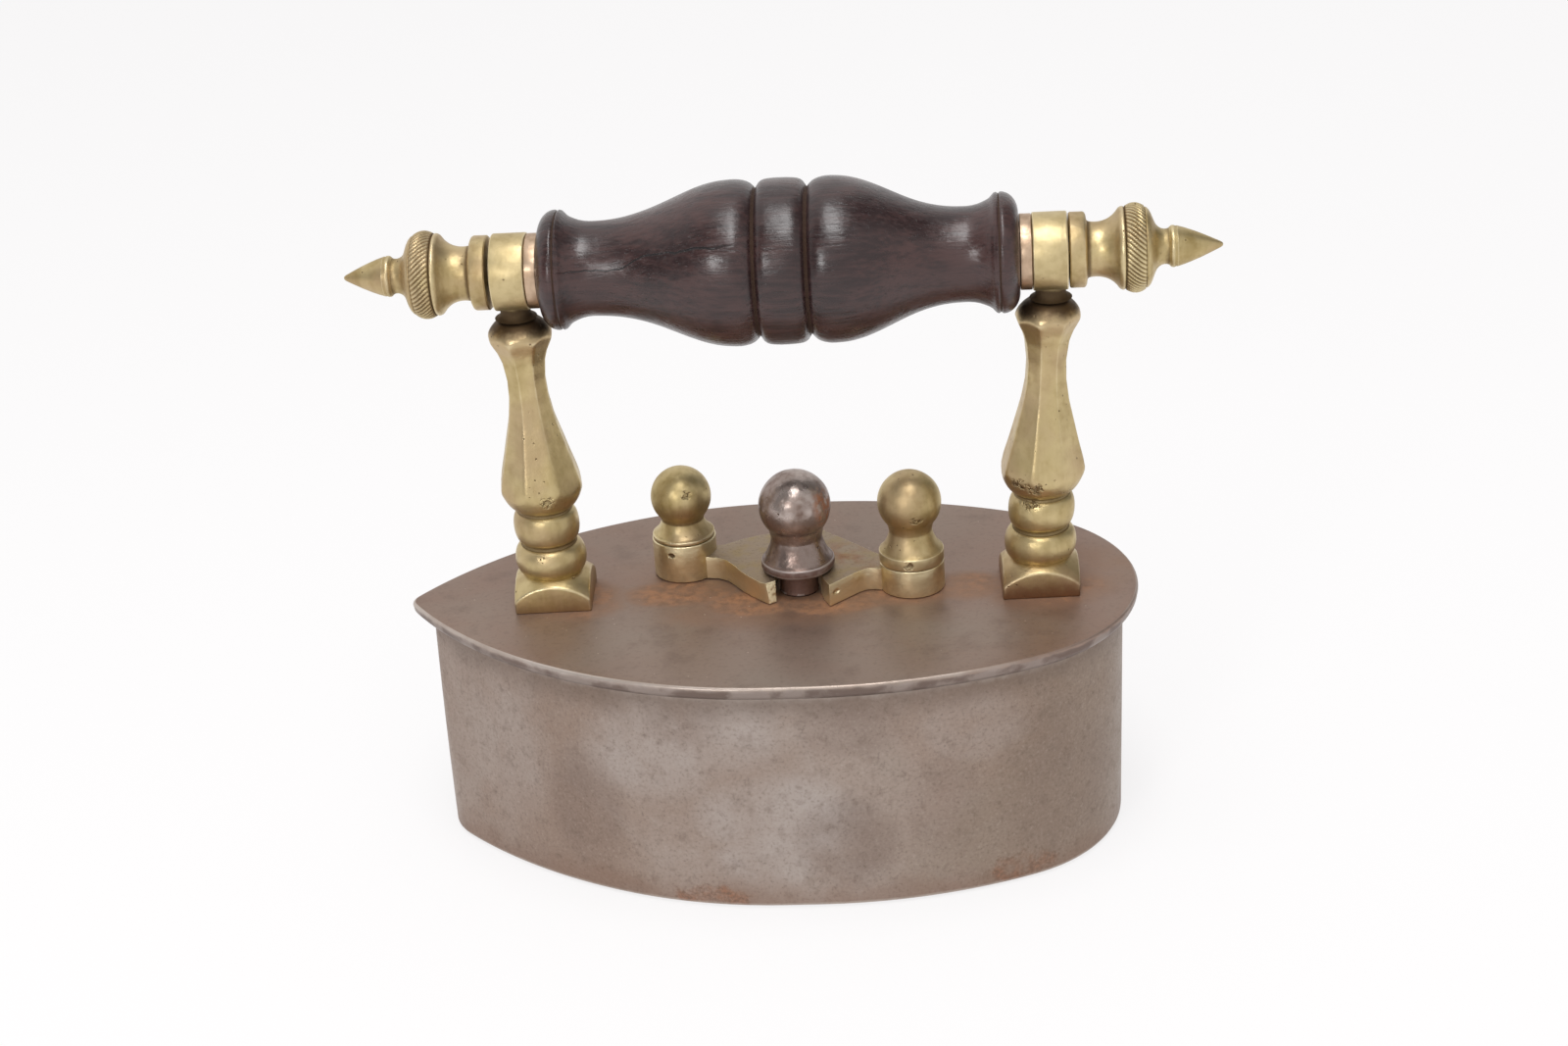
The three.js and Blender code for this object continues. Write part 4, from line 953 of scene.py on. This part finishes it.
class IRON_OT_lid(bpy.types.Operator):
    """Lid plate and the rim that centres it"""

    bl_idname = "iron.lid"
    bl_label = "Lid"

    def execute(self, context):
        steel = context.scene.slug_iron.steel
        add_piece(make_lid(), "lid_with_worn_edge", "lid_plate", lid_finish("lid_steel", steel))
        outer = wall_inset(LID_BOTTOM) + WALL + 0.5
        inner = outer + 2.5
        rings = [(outer + 0.3, 4, LID_BOTTOM - 3.6), (outer, 4, LID_BOTTOM - 3.3), (outer, 4, LID_BOTTOM)]
        rings += [(inner, 2, LID_BOTTOM), (inner, 2, LID_BOTTOM - 3.3), (inner - 0.3, 2, LID_BOTTOM - 3.6)]
        add_piece(shell_between(rings, True), "locating_strip", "lid_locating_rim", context.scene.iron_inner)
        return {"FINISHED"}


class IRON_OT_box(bpy.types.Operator):
    """Wall, sole, catch lugs and slug rests"""

    bl_idname = "iron.box"
    bl_label = "Box"

    def execute(self, context):
        inner = context.scene.iron_inner
        finish = wall_finish("box_steel", context.scene.slug_iron.steel)
        add_piece(make_wall(), "wall_of_the_box", "box_wall", finish)
        inset = wall_inset(0) + WALL + SEAT_GAP
        rings = [(inset + 1.4, 9.5, 0), (inset + 0.4, 10.5, 0.25), (inset, 11, 1.0)]
        rings += [(inset, 11, SOLE_TOP - 0.4), (inset + 0.4, 10.5, SOLE_TOP), (inset + 6, 5, SOLE_TOP)]
        add_piece(fill_nose(shell_between(rings, False)), "ground_sole", "sole_plate", inner)
        for node in ("catch_lug_near", "catch_lug_far", "slug_rest_nose", "slug_rest_heel"):
            dress_node(node, inner)
        return {"FINISHED"}


class IRON_OT_slug(bpy.types.Operator):
    """Cast slug with its hook hole"""

    bl_idname = "iron.slug"
    bl_label = "Slug"

    def execute(self, context):
        low, high = span("heating_slug")
        inset = wall_inset(0) + 7.0
        easing = 2.2
        turns = [math.radians(90 * step / 4) for step in range(5)]
        curve = [(math.cos(turn), math.sin(turn)) for turn in turns]
        rings = [(inset + easing * (1 - sin), 5, low.z + easing * (1 - cos)) for cos, sin in curve]
        rings += [(inset + easing * (1 - cos), 5, high.z - easing * (1 - sin)) for cos, sin in curve]
        rings.append((inset + 6, 5, high.z))
        bm = cut(shell_between(rings, False), move(rod(7, low.z - 2, high.z + 2, 48), 46))
        soften(bm, 0.8, 60, 3)
        finish = slug_finish("slug_iron", context.scene.slug_iron.steel)
        add_piece(bm, "cast_slug", "heating_slug", finish)
        return {"FINISHED"}


# Pillars

PILLAR_FLATS = (
    (24, 10.2), (28, 9.75), (30.5, 9.45), (33, 8.95), (37.2, 7.85), (42.3, 6.6), (47.3, 5.4), (52.5, 4.62),
    (57.2, 4.45), (62.1, 5.0), (64.6, 5.8), (67, 6.95), (69.5, 7.85), (73, 8.6),
)
PILLAR_BORE = 3.5
PIVOT_BORE = 3.3


def flat_reach(height):
    """Distance from the pillar's axis to its flats at a height above the lid."""
    for (low, start), (high, end) in zip(PILLAR_FLATS, PILLAR_FLATS[1:]):
        if height <= high:
            return start + (end - start) * (height - low) / (high - low)
    return PILLAR_FLATS[-1][1]


def make_shaft(turn):
    """Baluster above its foot: turned rings, an eight-sided shaft and a domed crown."""
    profile = [(0, 5.6), (6.4, 5.6), (7.1, 6.5)]
    profile += bead(11.1, 3.8, 6.4, 8.5)[2:-1]
    profile += [(6.5, 14.95), (6.42, 15.35), (6.5, 15.75)]
    profile += bead(19.7, 3.85, 6.4, 7.85)[1:-1]
    profile += [(6.45, 23.7), (6.4, 24.05), (6.5, 24.3)]
    profile += [(6.75, 24.5), (7.4, 24.9), (8.0, 25.5), (8.5, 26.2), (8.95, 27.0), (9.35, 27.9), (9.7, 28.8)]
    profile += [(10.0, 29.8), (10.3, 30.7)]
    profile += [(10.6, 31.6 + 0.8 * step) for step in range(41)]
    profile += [(10.0, 64.6), (9.4, 65.4), (8.8, 66.2), (8.3, 66.9), (7.95, 67.5), (7.7, 68.0), (7.5, 68.5)]
    profile += [(7.28, 69.1), (6.95, 69.7), (6.5, 70.3), (5.95, 70.9), (5.3, 71.45), (4.6, 71.9), (3.9, 72.2)]
    profile += [(3.0, 72.4), (0, 72.45)]
    bm = lathe(profile, 112)
    octant = math.pi / 4
    for vert in bm.verts:
        height = vert.co.z / MM
        radius = math.hypot(vert.co.x, vert.co.y) / MM
        if height > 24.4 and radius > 0.5:
            angle = math.atan2(vert.co.y, vert.co.x) - math.radians(turn)
            off = (angle + octant / 2) % octant - octant / 2
            reach = flat_reach(height)
            limit = softer_min(reach / math.cos(off), reach * 1.075, 0.22)
            widen(vert, softer_min(radius, limit, 0.35) / radius)
    return bm


def make_foot():
    """Square foot whose top is turned to a dome, so that each side ends in an arch."""
    bm = bmesh.new()
    bmesh.ops.create_grid(bm, x_segments=30, y_segments=30, size=9.1 * MM)
    for vert in bm.verts:
        radius = math.hypot(vert.co.x, vert.co.y) / MM
        vert.co.z = (math.sqrt(16.0**2 - radius**2) - 6.66) * MM
    made = bmesh.ops.extrude_edge_only(bm, edges=[edge for edge in bm.edges if edge.is_boundary])
    for item in made["geom"]:
        if isinstance(item, bmesh.types.BMVert):
            item.co.z = 0
    bmesh.ops.edgeloop_fill(bm, edges=[edge for edge in bm.edges if edge.is_boundary])
    bmesh.ops.recalc_face_normals(bm, faces=bm.faces)
    soften(bm, 0.42, 30, 3)
    return turned(bm, 2.4)


def make_nut(node, bore):
    """Square nut with rounded corners and a bore."""
    low, high = span(node)
    width = high.x - low.x
    bm = move(block(width, width, high.z - low.z), z=(high.z + low.z) / 2)
    bm = cut(bm, rod(bore, low.z - 1, high.z + 1))
    soften(bm, 0.5, 60, 3)
    return move(bm, middle(node).x)


def make_washer(node, bore):
    """Round washer with rounded edges, round an upright bore."""
    low, high = span(node)
    bm = tube(bore, (high.x - low.x) / 2, low.z, high.z, 64)
    soften(bm, 0.25, 60, 3)
    return move(bm, middle(node).x)


class IRON_OT_pillars(bpy.types.Operator):
    """Pillars of the handle with their washers and nuts"""

    bl_idname = "iron.pillars"
    bl_label = "Pillars"

    def execute(self, context):
        brass = context.scene.slug_iron.brass
        inner = context.scene.iron_inner
        nose = PILLAR_X["nose"]
        heel = PILLAR_X["heel"]
        nose_gouges = [((nose + 1.5, -8.3, LID_TOP + 29), (2.2, 3, 2.0), 0.3)]
        heel_gouges = [
            ((heel - 4.2, -7.8, LID_TOP + 28.9), (2.2, 5, 1.8), 0.85),
            ((heel - 0.6, -8.6, LID_TOP + 28.4), (2.4, 5, 2.2), 0.7),
            ((heel - 1.8, -7.2, LID_TOP + 23.0), (3.2, 4, 1.2), 0.6),
        ]
        for end, side, turn, grime, gouges in (
            ("nose", -1, 9, 0.55, nose_gouges), ("heel", 1, 7, 0.85, heel_gouges),
        ):
            bm = joined(make_foot(), make_shaft(turn))
            lean = (side * EYE_X - PILLAR_X[end]) / (HANDLE_Z - LID_TOP)
            for vert in bm.verts:
                vert.co.x += vert.co.z * lean
            move(bm, z=LID_TOP)
            tenon_end = [(3.2, LID_TOP + 1), (0, LID_TOP + 1)]
            bm = joined(bm, threaded(3.2, span("pillar_nose")[0].z, tenon_end))
            wobble(bm, 0.05, 6)
            move(bm, PILLAR_X[end])
            finish = brass_finish(f"brass_pillar_{end}", brass, gouges, LID_TOP + 68.6, grime, 0.7)
            add_piece(bm, f"eight_sided_pillar_{end}", f"pillar_{end}", finish)
            washer = f"pillar_washer_{end}"
            nut = f"pillar_nut_{end}"
            add_piece(make_washer(washer, PILLAR_BORE), f"foot_washer_{end}", washer, inner)
            add_piece(make_nut(nut, PILLAR_BORE), f"foot_nut_{end}", nut, inner)
        return {"FINISHED"}


# Latch and lock


def knob_profile(flange_top, flange_radius, neck_rise, neck_radius, ball_rise, ball_radius):
    """A cove drawn in to a neck, and a ball, above a flange. Heights are above the lid."""
    neck_top = flange_top + neck_rise
    centre = neck_top + ball_rise
    points = []
    for index in range(1, 15):
        inward = math.sin(math.pi / 2 * index / 14)
        upward = 1 - (1 - inward**1.4) ** (1 / 1.4)
        radius = flange_radius - (flange_radius - neck_radius) * inward
        points.append((radius, flange_top + neck_rise * upward))
    below = math.sqrt(ball_radius**2 - neck_radius**2)
    low = -math.asin(ball_rise / ball_radius)
    if below < ball_rise:
        low = -math.acos(neck_radius / ball_radius)
    for index in range(1, 28):
        angle = low + (math.pi / 2 - low) * index / 28
        points.append((ball_radius * math.cos(angle), centre + ball_radius * math.sin(angle)))
    points.append((0, centre + ball_radius))
    return [(radius, LID_TOP + height) for radius, height in points]


class IRON_OT_latch(bpy.types.Operator):
    """Latch plate with its fork, and the thumb knob"""

    bl_idname = "iron.latch"
    bl_label = "Latch"

    def execute(self, context):
        settings = context.scene.slug_iron
        thumb = middle("thumb_knob")
        plate = bmesh.new()
        plate.from_mesh(frame["nodes"]["latch_plate"].data)
        bmesh.ops.remove_doubles(plate, verts=plate.verts, dist=1e-6)
        bmesh.ops.dissolve_limit(plate, angle_limit=math.radians(1.2), verts=plate.verts, edges=plate.edges)
        broken_end = move(turned(move(block(8, 8, 20), y=-4), 33.5), -6.55, -8.2, LID_TOP + 5)
        plate = cut(plate, broken_end)
        soften(plate, 0.6, 32, 3)
        bosses = []
        for x, y, top, bore in ((PIVOT_X, 0, 7.1, 3.4), (thumb.x, thumb.y, 9.7, 2.9)):
            boss = tube(bore, 7.72, LID_TOP + SEAT_GAP, LID_TOP + top, 80)
            soften(boss, 0.28, 60, 3)
            bosses.append(move(boss, x, y))
        finish = latch_finish("latch_brass", settings.brass, settings.steel.rust_color)
        add_piece(joined(plate, *bosses), "forked_latch", "latch_plate", finish, 30)

        bottom = LID_TOP + SEAT_GAP
        seat = LID_TOP + 9.9
        profile = [(0, bottom), (2.6, bottom), (2.6, seat), (7.5, seat), (7.5, seat + 0.8)]
        knob = lathe(profile + knob_profile(10.7, 7.5, 3.6, 5.1, 5.8, 7.3))
        soften(knob, 0.16, 40, 2)
        wobble(knob, 0.05, 5)
        gouges = [((thumb.x + 2, thumb.y - 6, 84.4), (1.5, 3, 1.3), 0.25)]
        brass = brass_finish("brass_thumb_knob", settings.brass, gouges)
        add_piece(move(knob, thumb.x, thumb.y), "thumb_ball", "thumb_knob", brass)
        return {"FINISHED"}


class IRON_OT_pivot(bpy.types.Operator):
    """Pivot knob on its stud, with washer and nut"""

    bl_idname = "iron.pivot"
    bl_label = "Pivot"

    def execute(self, context):
        inner = context.scene.iron_inner
        seat = LID_TOP + 7.3
        inside = seat + 9
        profile = [(0, inside), (PIVOT_BORE, inside), (PIVOT_BORE, seat), (7.75, seat), (7.75, seat + 2.7)]
        knob = lathe(profile + knob_profile(10.0, 7.75, 5, 5.1, 7.2, 7.6))
        soften(knob, 0.18, 40, 2)
        wobble(knob, 0.05, 5)
        gouges = [
            ((PIVOT_X + 1.6, -6.2, LID_TOP + 20.2), (2.0, 3, 1.3), 0.6),
            ((PIVOT_X - 0.6, -7.6, seat + 1.4), (1.4, 1, 1.3), 0.6),
        ]
        brass = brass_finish("brass_pivot_knob", context.scene.slug_iron.brass, gouges)
        add_piece(move(knob, PIVOT_X), "pivot_ball", "pivot_knob", brass)
        low, high = span("pivot_stud")
        stud = threaded(3.0, low.z, [(3.0, high.z - 0.3), (2.7, high.z), (0, high.z)])
        add_piece(move(stud, PIVOT_X), "threaded_stud", "pivot_stud", brass)
        add_piece(make_washer("pivot_washer", PIVOT_BORE), "stud_washer", "pivot_washer", inner)
        add_piece(make_nut("pivot_nut", PIVOT_BORE), "stud_nut", "pivot_nut", inner)
        return {"FINISHED"}


class IRON_OT_lock(bpy.types.Operator):
    """Lock knob with its flange and stem, and the locking bar"""

    bl_idname = "iron.lock"
    bl_label = "Lock"

    def execute(self, context):
        bottom = span("lock_knob")[0].z
        low, high = span("locking_bar")
        top = LID_TOP + 6.2
        shaft = [(0, high.z + SEAT_GAP), (4.2, high.z + SEAT_GAP), (4.2, LID_TOP + 0.2), (4.8, LID_TOP + 0.2)]
        shaft += [(4.8, LID_TOP + 0.5), (4.6, LID_TOP + 1.0), (4.6, top), (8.15, top), (8.75, top + 0.6)]
        shaft += [(8.75, top + 2.3)]
        knob = lathe(shaft + knob_profile(8.5, 8.75, 5.7, 6.1, 8, 8.6), 112)
        soften(knob, 0.3, 30, 3)
        wobble(knob, 0.09, 4)
        length = high.z + 1 - (bottom + 0.65)
        square = move(block(5.8, 5.8, length), z=bottom + 0.65 + length / 2)
        soften(square, 0.4, 60, 2)
        head = [(0, 0), (2.35, 0.03), (3.9, 0.3), (4.7, 0.8), (4.7, 1.3), (0, 1.3)]
        rivet = lathe([(radius, bottom + height) for radius, height in head], 48)
        soften(rivet, 0.15, 60, 2)
        finish = lock_finish("lock_steel", context.scene.slug_iron.steel)
        add_piece(joined(knob, square, rivet), "lock_ball_and_stem", "lock_knob", finish)

        bar = move(block(high.x - low.x, high.y - low.y, high.z - low.z), *middle("locking_bar"))
        corners = [edge for edge in bar.edges if abs(edge.verts[0].co.z - edge.verts[1].co.z) > MM]
        bevel(bar, corners, 2.5, 6)
        bar = cut(bar, move(block(6.4, 6.4, 20), z=low.z))
        soften(bar, 0.35, 60, 2)
        add_piece(bar, "turning_bar", "locking_bar", context.scene.iron_inner)
        return {"FINISHED"}


# Handle

ROD_BORE = 3.5


class IRON_OT_grip(bpy.types.Operator):
    """Turned wooden grip"""

    bl_idname = "iron.grip"
    bl_label = "Grip"

    def execute(self, context):
        half = span("grip")[1].x
        flange = half - 5.2
        side = [(3.6, half), (8.6, half)]
        for index in range(1, 12):
            turn = math.pi / 2 * index / 11
            side.append((8.9 + 4.9 * math.sin(turn), half - 3.9 * (1 - math.cos(turn))))
        side += [(13.65, half - 4.2), (13.35, half - 4.4), (13.55, half - 4.6), (13.75, half - 4.95)]
        side += [(13.6, half - 5.4), (13.1, half - 5.9), (12.55, flange - 1.2)]
        side += [(12.1, flange - 1.9), (11.65, flange - 2.9), (11.25, flange - 4.0), (10.98, flange - 5.2)]
        side += [(10.86, flange - 6.4)]
        side += blend((10.85, flange - 6.5), (18.95, 12.0), 34, 1.2)
        side += [(19.0, 11.4), (18.98, 10.4), (18.88, 9.5), (18.68, 8.6), (18.4, 7.8), (18.0, 7.1)]
        side += [(17.45, 6.5), (16.95, 6.1), (16.75, 5.9), (16.95, 5.7), (17.45, 5.4), (18.05, 5.0)]
        side += [(18.5, 4.4), (18.75, 3.7), (18.88, 2.9), (18.95, 2.0), (19.0, 1.0)]
        other = [(radius, -x) for radius, x in reversed(side)]
        bm = lathe(list(reversed(side + [(19.0, 0)] + other)), 128, True)
        for vert in bm.verts:
            height = vert.co.z / MM
            vert.co.z += 1.2 * MM * softer_min(max((40 - abs(height)) / 22, 0), 1, 0.5)
        wobble(bm, 0.08, 9)
        lay_along_x(bm)
        wood = wood_finish("dark_wood", context.scene.slug_iron.wood)
        add_piece(move(bm, z=HANDLE_Z), "turned_grip", "grip", wood)
        return {"FINISHED"}


class IRON_OT_eyes(bpy.types.Operator):
    """Eyes that hold the handle rod on the pillars"""

    bl_idname = "iron.eyes"
    bl_label = "Eyes"

    def execute(self, context):
        for end, side in ENDS:
            ring = tube(ROD_BORE, 8.9, -4, 4)
            soften(ring, 0.4, 60, 3)
            lay_along_x(ring)
            neck = [(0, -13), (4.9, -11.05), (4.2, -10.8), (3.7, -10.3), (3.5, -9.7), (3.55, -9.0)]
            bm = joined(ring, lathe(neck + [(3.8, -8.3), (4.2, -7.6), (4.2, -7), (0, -7)], 48))
            wobble(bm, 0.04, 5)
            move(bm, side * EYE_X, 0, HANDLE_Z)
            finish = eye_finish(f"brass_eye_{end}", context.scene.slug_iron.brass)
            add_piece(bm, f"rod_eye_{end}", f"eye_{end}", finish)
        return {"FINISHED"}


class IRON_OT_rod(bpy.types.Operator):
    """Handle rod and the copper washers on it"""

    bl_idname = "iron.rod"
    bl_label = "Rod and washers"

    def execute(self, context):
        copper = copper_finish("worn_copper", context.scene.slug_iron.brass)
        for end, side in ENDS:
            low, high = span(f"copper_washer_{end}")
            half = (high.x - low.x) / 2
            washer = tube(ROD_BORE, 8.65, -half, half)
            soften(washer, 0.22, 60, 3)
            wobble(washer, 0.04, 5)
            lay_along_x(washer)
            move(washer, (low.x + high.x) / 2, 0, HANDLE_Z)
            add_piece(washer, f"copper_ring_{end}", f"copper_washer_{end}", copper)
        low, high = span("handle_rod")
        length = high.x - low.x
        shank = lathe([(0, 0), (2.7, 0), (3.2, 0.5), (3.2, length - 0.5), (2.7, length), (0, length)], 48)
        lay_along_x(shank)
        move(shank, low.x, 0, HANDLE_Z)
        add_piece(shank, "through_rod", "handle_rod", context.scene.iron_inner)
        return {"FINISHED"}


KNURL_START = 12.7
KNURL_WIDTH = 4.3
RING_RADIUS = 9.4
POINT_START = 24.5


def finial_profile(length):
    """Outline of a pointed nut, from the face that meets the eye to its point."""
    profile = [(0, KNURL_START), (ROD_BORE, KNURL_START), (ROD_BORE, 0), (8.3, 0), (8.6, 0.3), (8.6, 3.2)]
    profile += [(8.4, 3.6), (7.9, 3.85)]
    profile += [(7.0, 4.0), (6.55, 4.15), (6.35, 4.5), (6.25, 5.2), (6.2, 6.0), (6.25, 6.8), (6.4, 7.6)]
    profile += [(6.65, 8.4), (7.05, 9.2), (7.6, 9.95), (8.25, 10.6), (8.8, 11.0), (9.15, 11.3), (9.4, 11.75)]
    profile += [(9.45, 12.15), (9.3, 12.45), (9.12, 12.6)]
    rows = 12
    profile += [(RING_RADIUS, KNURL_START + KNURL_WIDTH * row / rows) for row in range(rows + 1)]
    profile += [(9.1, 17.1), (9.15, 17.3), (8.95, 17.7), (8.45, 18.15), (7.7, 18.55), (6.8, 18.9)]
    profile += [(5.9, 19.25), (5.1, 19.65), (4.5, 20.2), (4.15, 20.8), (4.0, 21.4), (4.0, 22.0)]
    profile += [(4.12, 22.4), (4.45, 22.75), (4.72, 23.1), (4.75, 23.6), (4.55, 24.0), (4.6, 24.4)]
    point = ((0.0, 4.55), (0.15, 4.1), (0.3, 3.55), (0.5, 2.75), (0.7, 1.85), (0.86, 1.1), (0.95, 0.65))
    profile += [(radius, POINT_START + (length - POINT_START) * share) for share, radius in point]
    return profile + [(0.35, length - 0.12), (0, length)]


class IRON_OT_finials(bpy.types.Operator):
    """Pointed brass nuts with their knurled rings"""

    bl_idname = "iron.finials"
    bl_label = "Finials"

    def execute(self, context):
        settings = context.scene.slug_iron
        finial = settings.finial
        for end, side in ENDS:
            low, high = span(f"finial_{end}")
            bm = lathe(finial_profile(high.x - low.x), 8 * finial.knurl_count)
            for vert in bm.verts:
                across = (vert.co.z / MM - KNURL_START) / KNURL_WIDTH
                radius = math.hypot(vert.co.x, vert.co.y)
                if -0.01 < across < 1.01 and radius > 9 * MM:
                    angle = math.atan2(vert.co.y, vert.co.x) + side * across * finial.knurl_slant
                    wave = math.sin(angle * finial.knurl_count)
                    crown = 1 - (2 * across - 1) ** 2
                    grow = wave * finial.knurl_depth / 2 * (0.35 + crown * 0.65) + crown * 0.6 * MM
                    widen(vert, (radius + grow) / radius)
            wobble(bm, 0.04, 5)
            lay_along_x(bm, side)
            move(bm, high.x if side < 0 else low.x, 0, HANDLE_Z)
            brass = brass_finish(f"brass_finial_{end}", settings.brass)
            add_piece(bm, f"pointed_nut_{end}", f"finial_{end}", brass)
        return {"FINISHED"}


# Stage

FLOOR_GLOW = 0.8
SENSOR_WIDTH = 36


def floor_finish(color):
    """Pale floor that keeps the shadow and glows where it is looked at, to meet the background."""
    f = Nodes(bpy.data.materials.new("pale_floor"))
    path = f.node("ShaderNodeLightPath")
    seen = f.math("MAXIMUM", path["Is Camera Ray"], path["Is Glossy Ray"])
    share = f.math("MAXIMUM", seen, path["Is Transmission Ray"]) * FLOOR_GLOW
    matte = f.node("ShaderNodeBsdfDiffuse", {"Color": color})
    glow = f.node("ShaderNodeEmission", {"Color": (0.985, 0.975, 0.978)})
    surface = f.node("ShaderNodeMixShader", {0: share, 1: matte, 2: glow})
    f.node("ShaderNodeOutputMaterial", {"Surface": surface})
    return f.owner


def room_light(level):
    """Even light. Reflections see a bright front and back with darker sides between them."""
    f = Nodes(bpy.data.worlds.new("room"))
    path = f.node("ShaderNodeLightPath")
    mirrored = f.math("MAXIMUM", path["Is Glossy Ray"], path["Is Transmission Ray"])
    towards = f.node("ShaderNodeTexCoord")["Generated"]
    back = (-0.6, 0.78, 0.15)
    away = f.node("ShaderNodeVectorMath", {0: towards, 1: back}, operation="DOT_PRODUCT")["Value"]
    panels = f.ramp(away, -0.1, -0.7, 0.16, 0.80) + f.ramp(away, 0.0, 0.6, 0.0, 0.76)
    strength = f.mix(mirrored, level, panels, "FLOAT")
    strength = f.mix(path["Is Camera Ray"], strength, 1.0, "FLOAT")
    background = f.node("ShaderNodeBackground", {"Color": (1, 0.995, 0.99), "Strength": strength})
    f.node("ShaderNodeOutputWorld", {"Surface": background})
    return f.owner


def place_lamp(name, width, depth, power, place, target):
    """An oval soft lamp that looks at a point."""
    data = bpy.data.lights.new(name, "AREA")
    data.shape = "ELLIPSE"
    data.size = width
    data.size_y = depth
    data.energy = power
    lamp = bpy.data.objects.new(name, data)
    lamp.location = place
    lamp.rotation_euler = (Vector(target) - Vector(place)).to_track_quat("-Z", "Y").to_euler()
    bpy.context.collection.objects.link(lamp)


def camera_matrix(settings):
    """The camera's place and turn, from yaw, pitch and roll."""
    yaw = -settings.camera_yaw
    pitch = settings.camera_pitch
    roll = settings.camera_roll
    forward = Vector((math.sin(yaw) * math.cos(pitch), math.cos(yaw) * math.cos(pitch), -math.sin(pitch)))
    right = Vector((math.cos(yaw), -math.sin(yaw), 0))
    up = right.cross(forward)
    side = right * math.cos(roll) + up * math.sin(roll)
    top = up * math.cos(roll) - right * math.sin(roll)
    turn = Matrix((side, top, -forward)).transposed()
    return Matrix.Translation(settings.camera_place) @ turn.to_4x4()


class IRON_OT_stage(bpy.types.Operator):
    """Floor, lamps, room light and camera"""

    bl_idname = "iron.stage"
    bl_label = "Stage"

    def execute(self, context):
        settings = context.scene.slug_iron.stage
        scene = context.scene
        scene.view_settings.view_transform = "Standard"
        bm = bmesh.new()
        bmesh.ops.create_grid(bm, x_segments=2, y_segments=2, size=4)
        mesh = bpy.data.meshes.new("floor")
        bm.to_mesh(mesh)
        bm.free()
        mesh.materials.append(floor_finish(settings.floor_color))
        floor = bpy.data.objects.new("floor", mesh)
        context.collection.objects.link(floor)
        scene.world = room_light(settings.room_level)

        target = (0, 0, 0.08)
        place_lamp("key_lamp", 0.32, 0.32, settings.key_power, (-0.42, -1.08, 0.54), target)
        place_lamp("top_lamp", 0.26, 0.9, settings.top_power, (0.02, -0.27, 1.05), target)

        data = bpy.data.cameras.new("camera")
        data.lens = settings.focal_length
        data.sensor_width = SENSOR_WIDTH
        data.clip_start = 0.01
        camera = bpy.data.objects.new("camera", data)
        context.collection.objects.link(camera)
        camera.matrix_world = camera_matrix(settings)
        scene.camera = camera
        return {"FINISHED"}


class IRON_PT_panel(bpy.types.Panel):
    """Lists the pieces of the iron"""

    bl_label = "Slug iron"
    bl_idname = "IRON_PT_panel"
    bl_space_type = "VIEW_3D"
    bl_region_type = "UI"
    bl_category = "Iron"

    def draw(self, context):
        for operator in OPERATORS:
            self.layout.operator(operator.bl_idname)


OPERATORS = (
    IRON_OT_stage, IRON_OT_box, IRON_OT_slug, IRON_OT_lid, IRON_OT_pillars, IRON_OT_latch, IRON_OT_pivot,
    IRON_OT_lock, IRON_OT_grip, IRON_OT_eyes, IRON_OT_rod, IRON_OT_finials,
)
CLASSES = (
    StageSettings, BrassSettings, SteelSettings, WoodSettings, FinialSettings, IronSettings,
    *OPERATORS, IRON_PT_panel,
)


def register():
    for item in CLASSES:
        bpy.utils.register_class(item)
    bpy.types.Scene.slug_iron = PointerProperty(type=IronSettings)
    bpy.types.Scene.iron_inner = PointerProperty(type=bpy.types.Material)


def unregister():
    del bpy.types.Scene.iron_inner
    del bpy.types.Scene.slug_iron
    for item in reversed(CLASSES):
        bpy.utils.unregister_class(item)


def main():
    register()
    scene = bpy.context.scene
    scene.iron_inner = inner_finish("heat_darkened_steel", scene.slug_iron.steel)
    for operator in OPERATORS:
        group, name = operator.bl_idname.split(".")
        getattr(getattr(bpy.ops, group), name)()


if __name__ == "__main__":
    main()
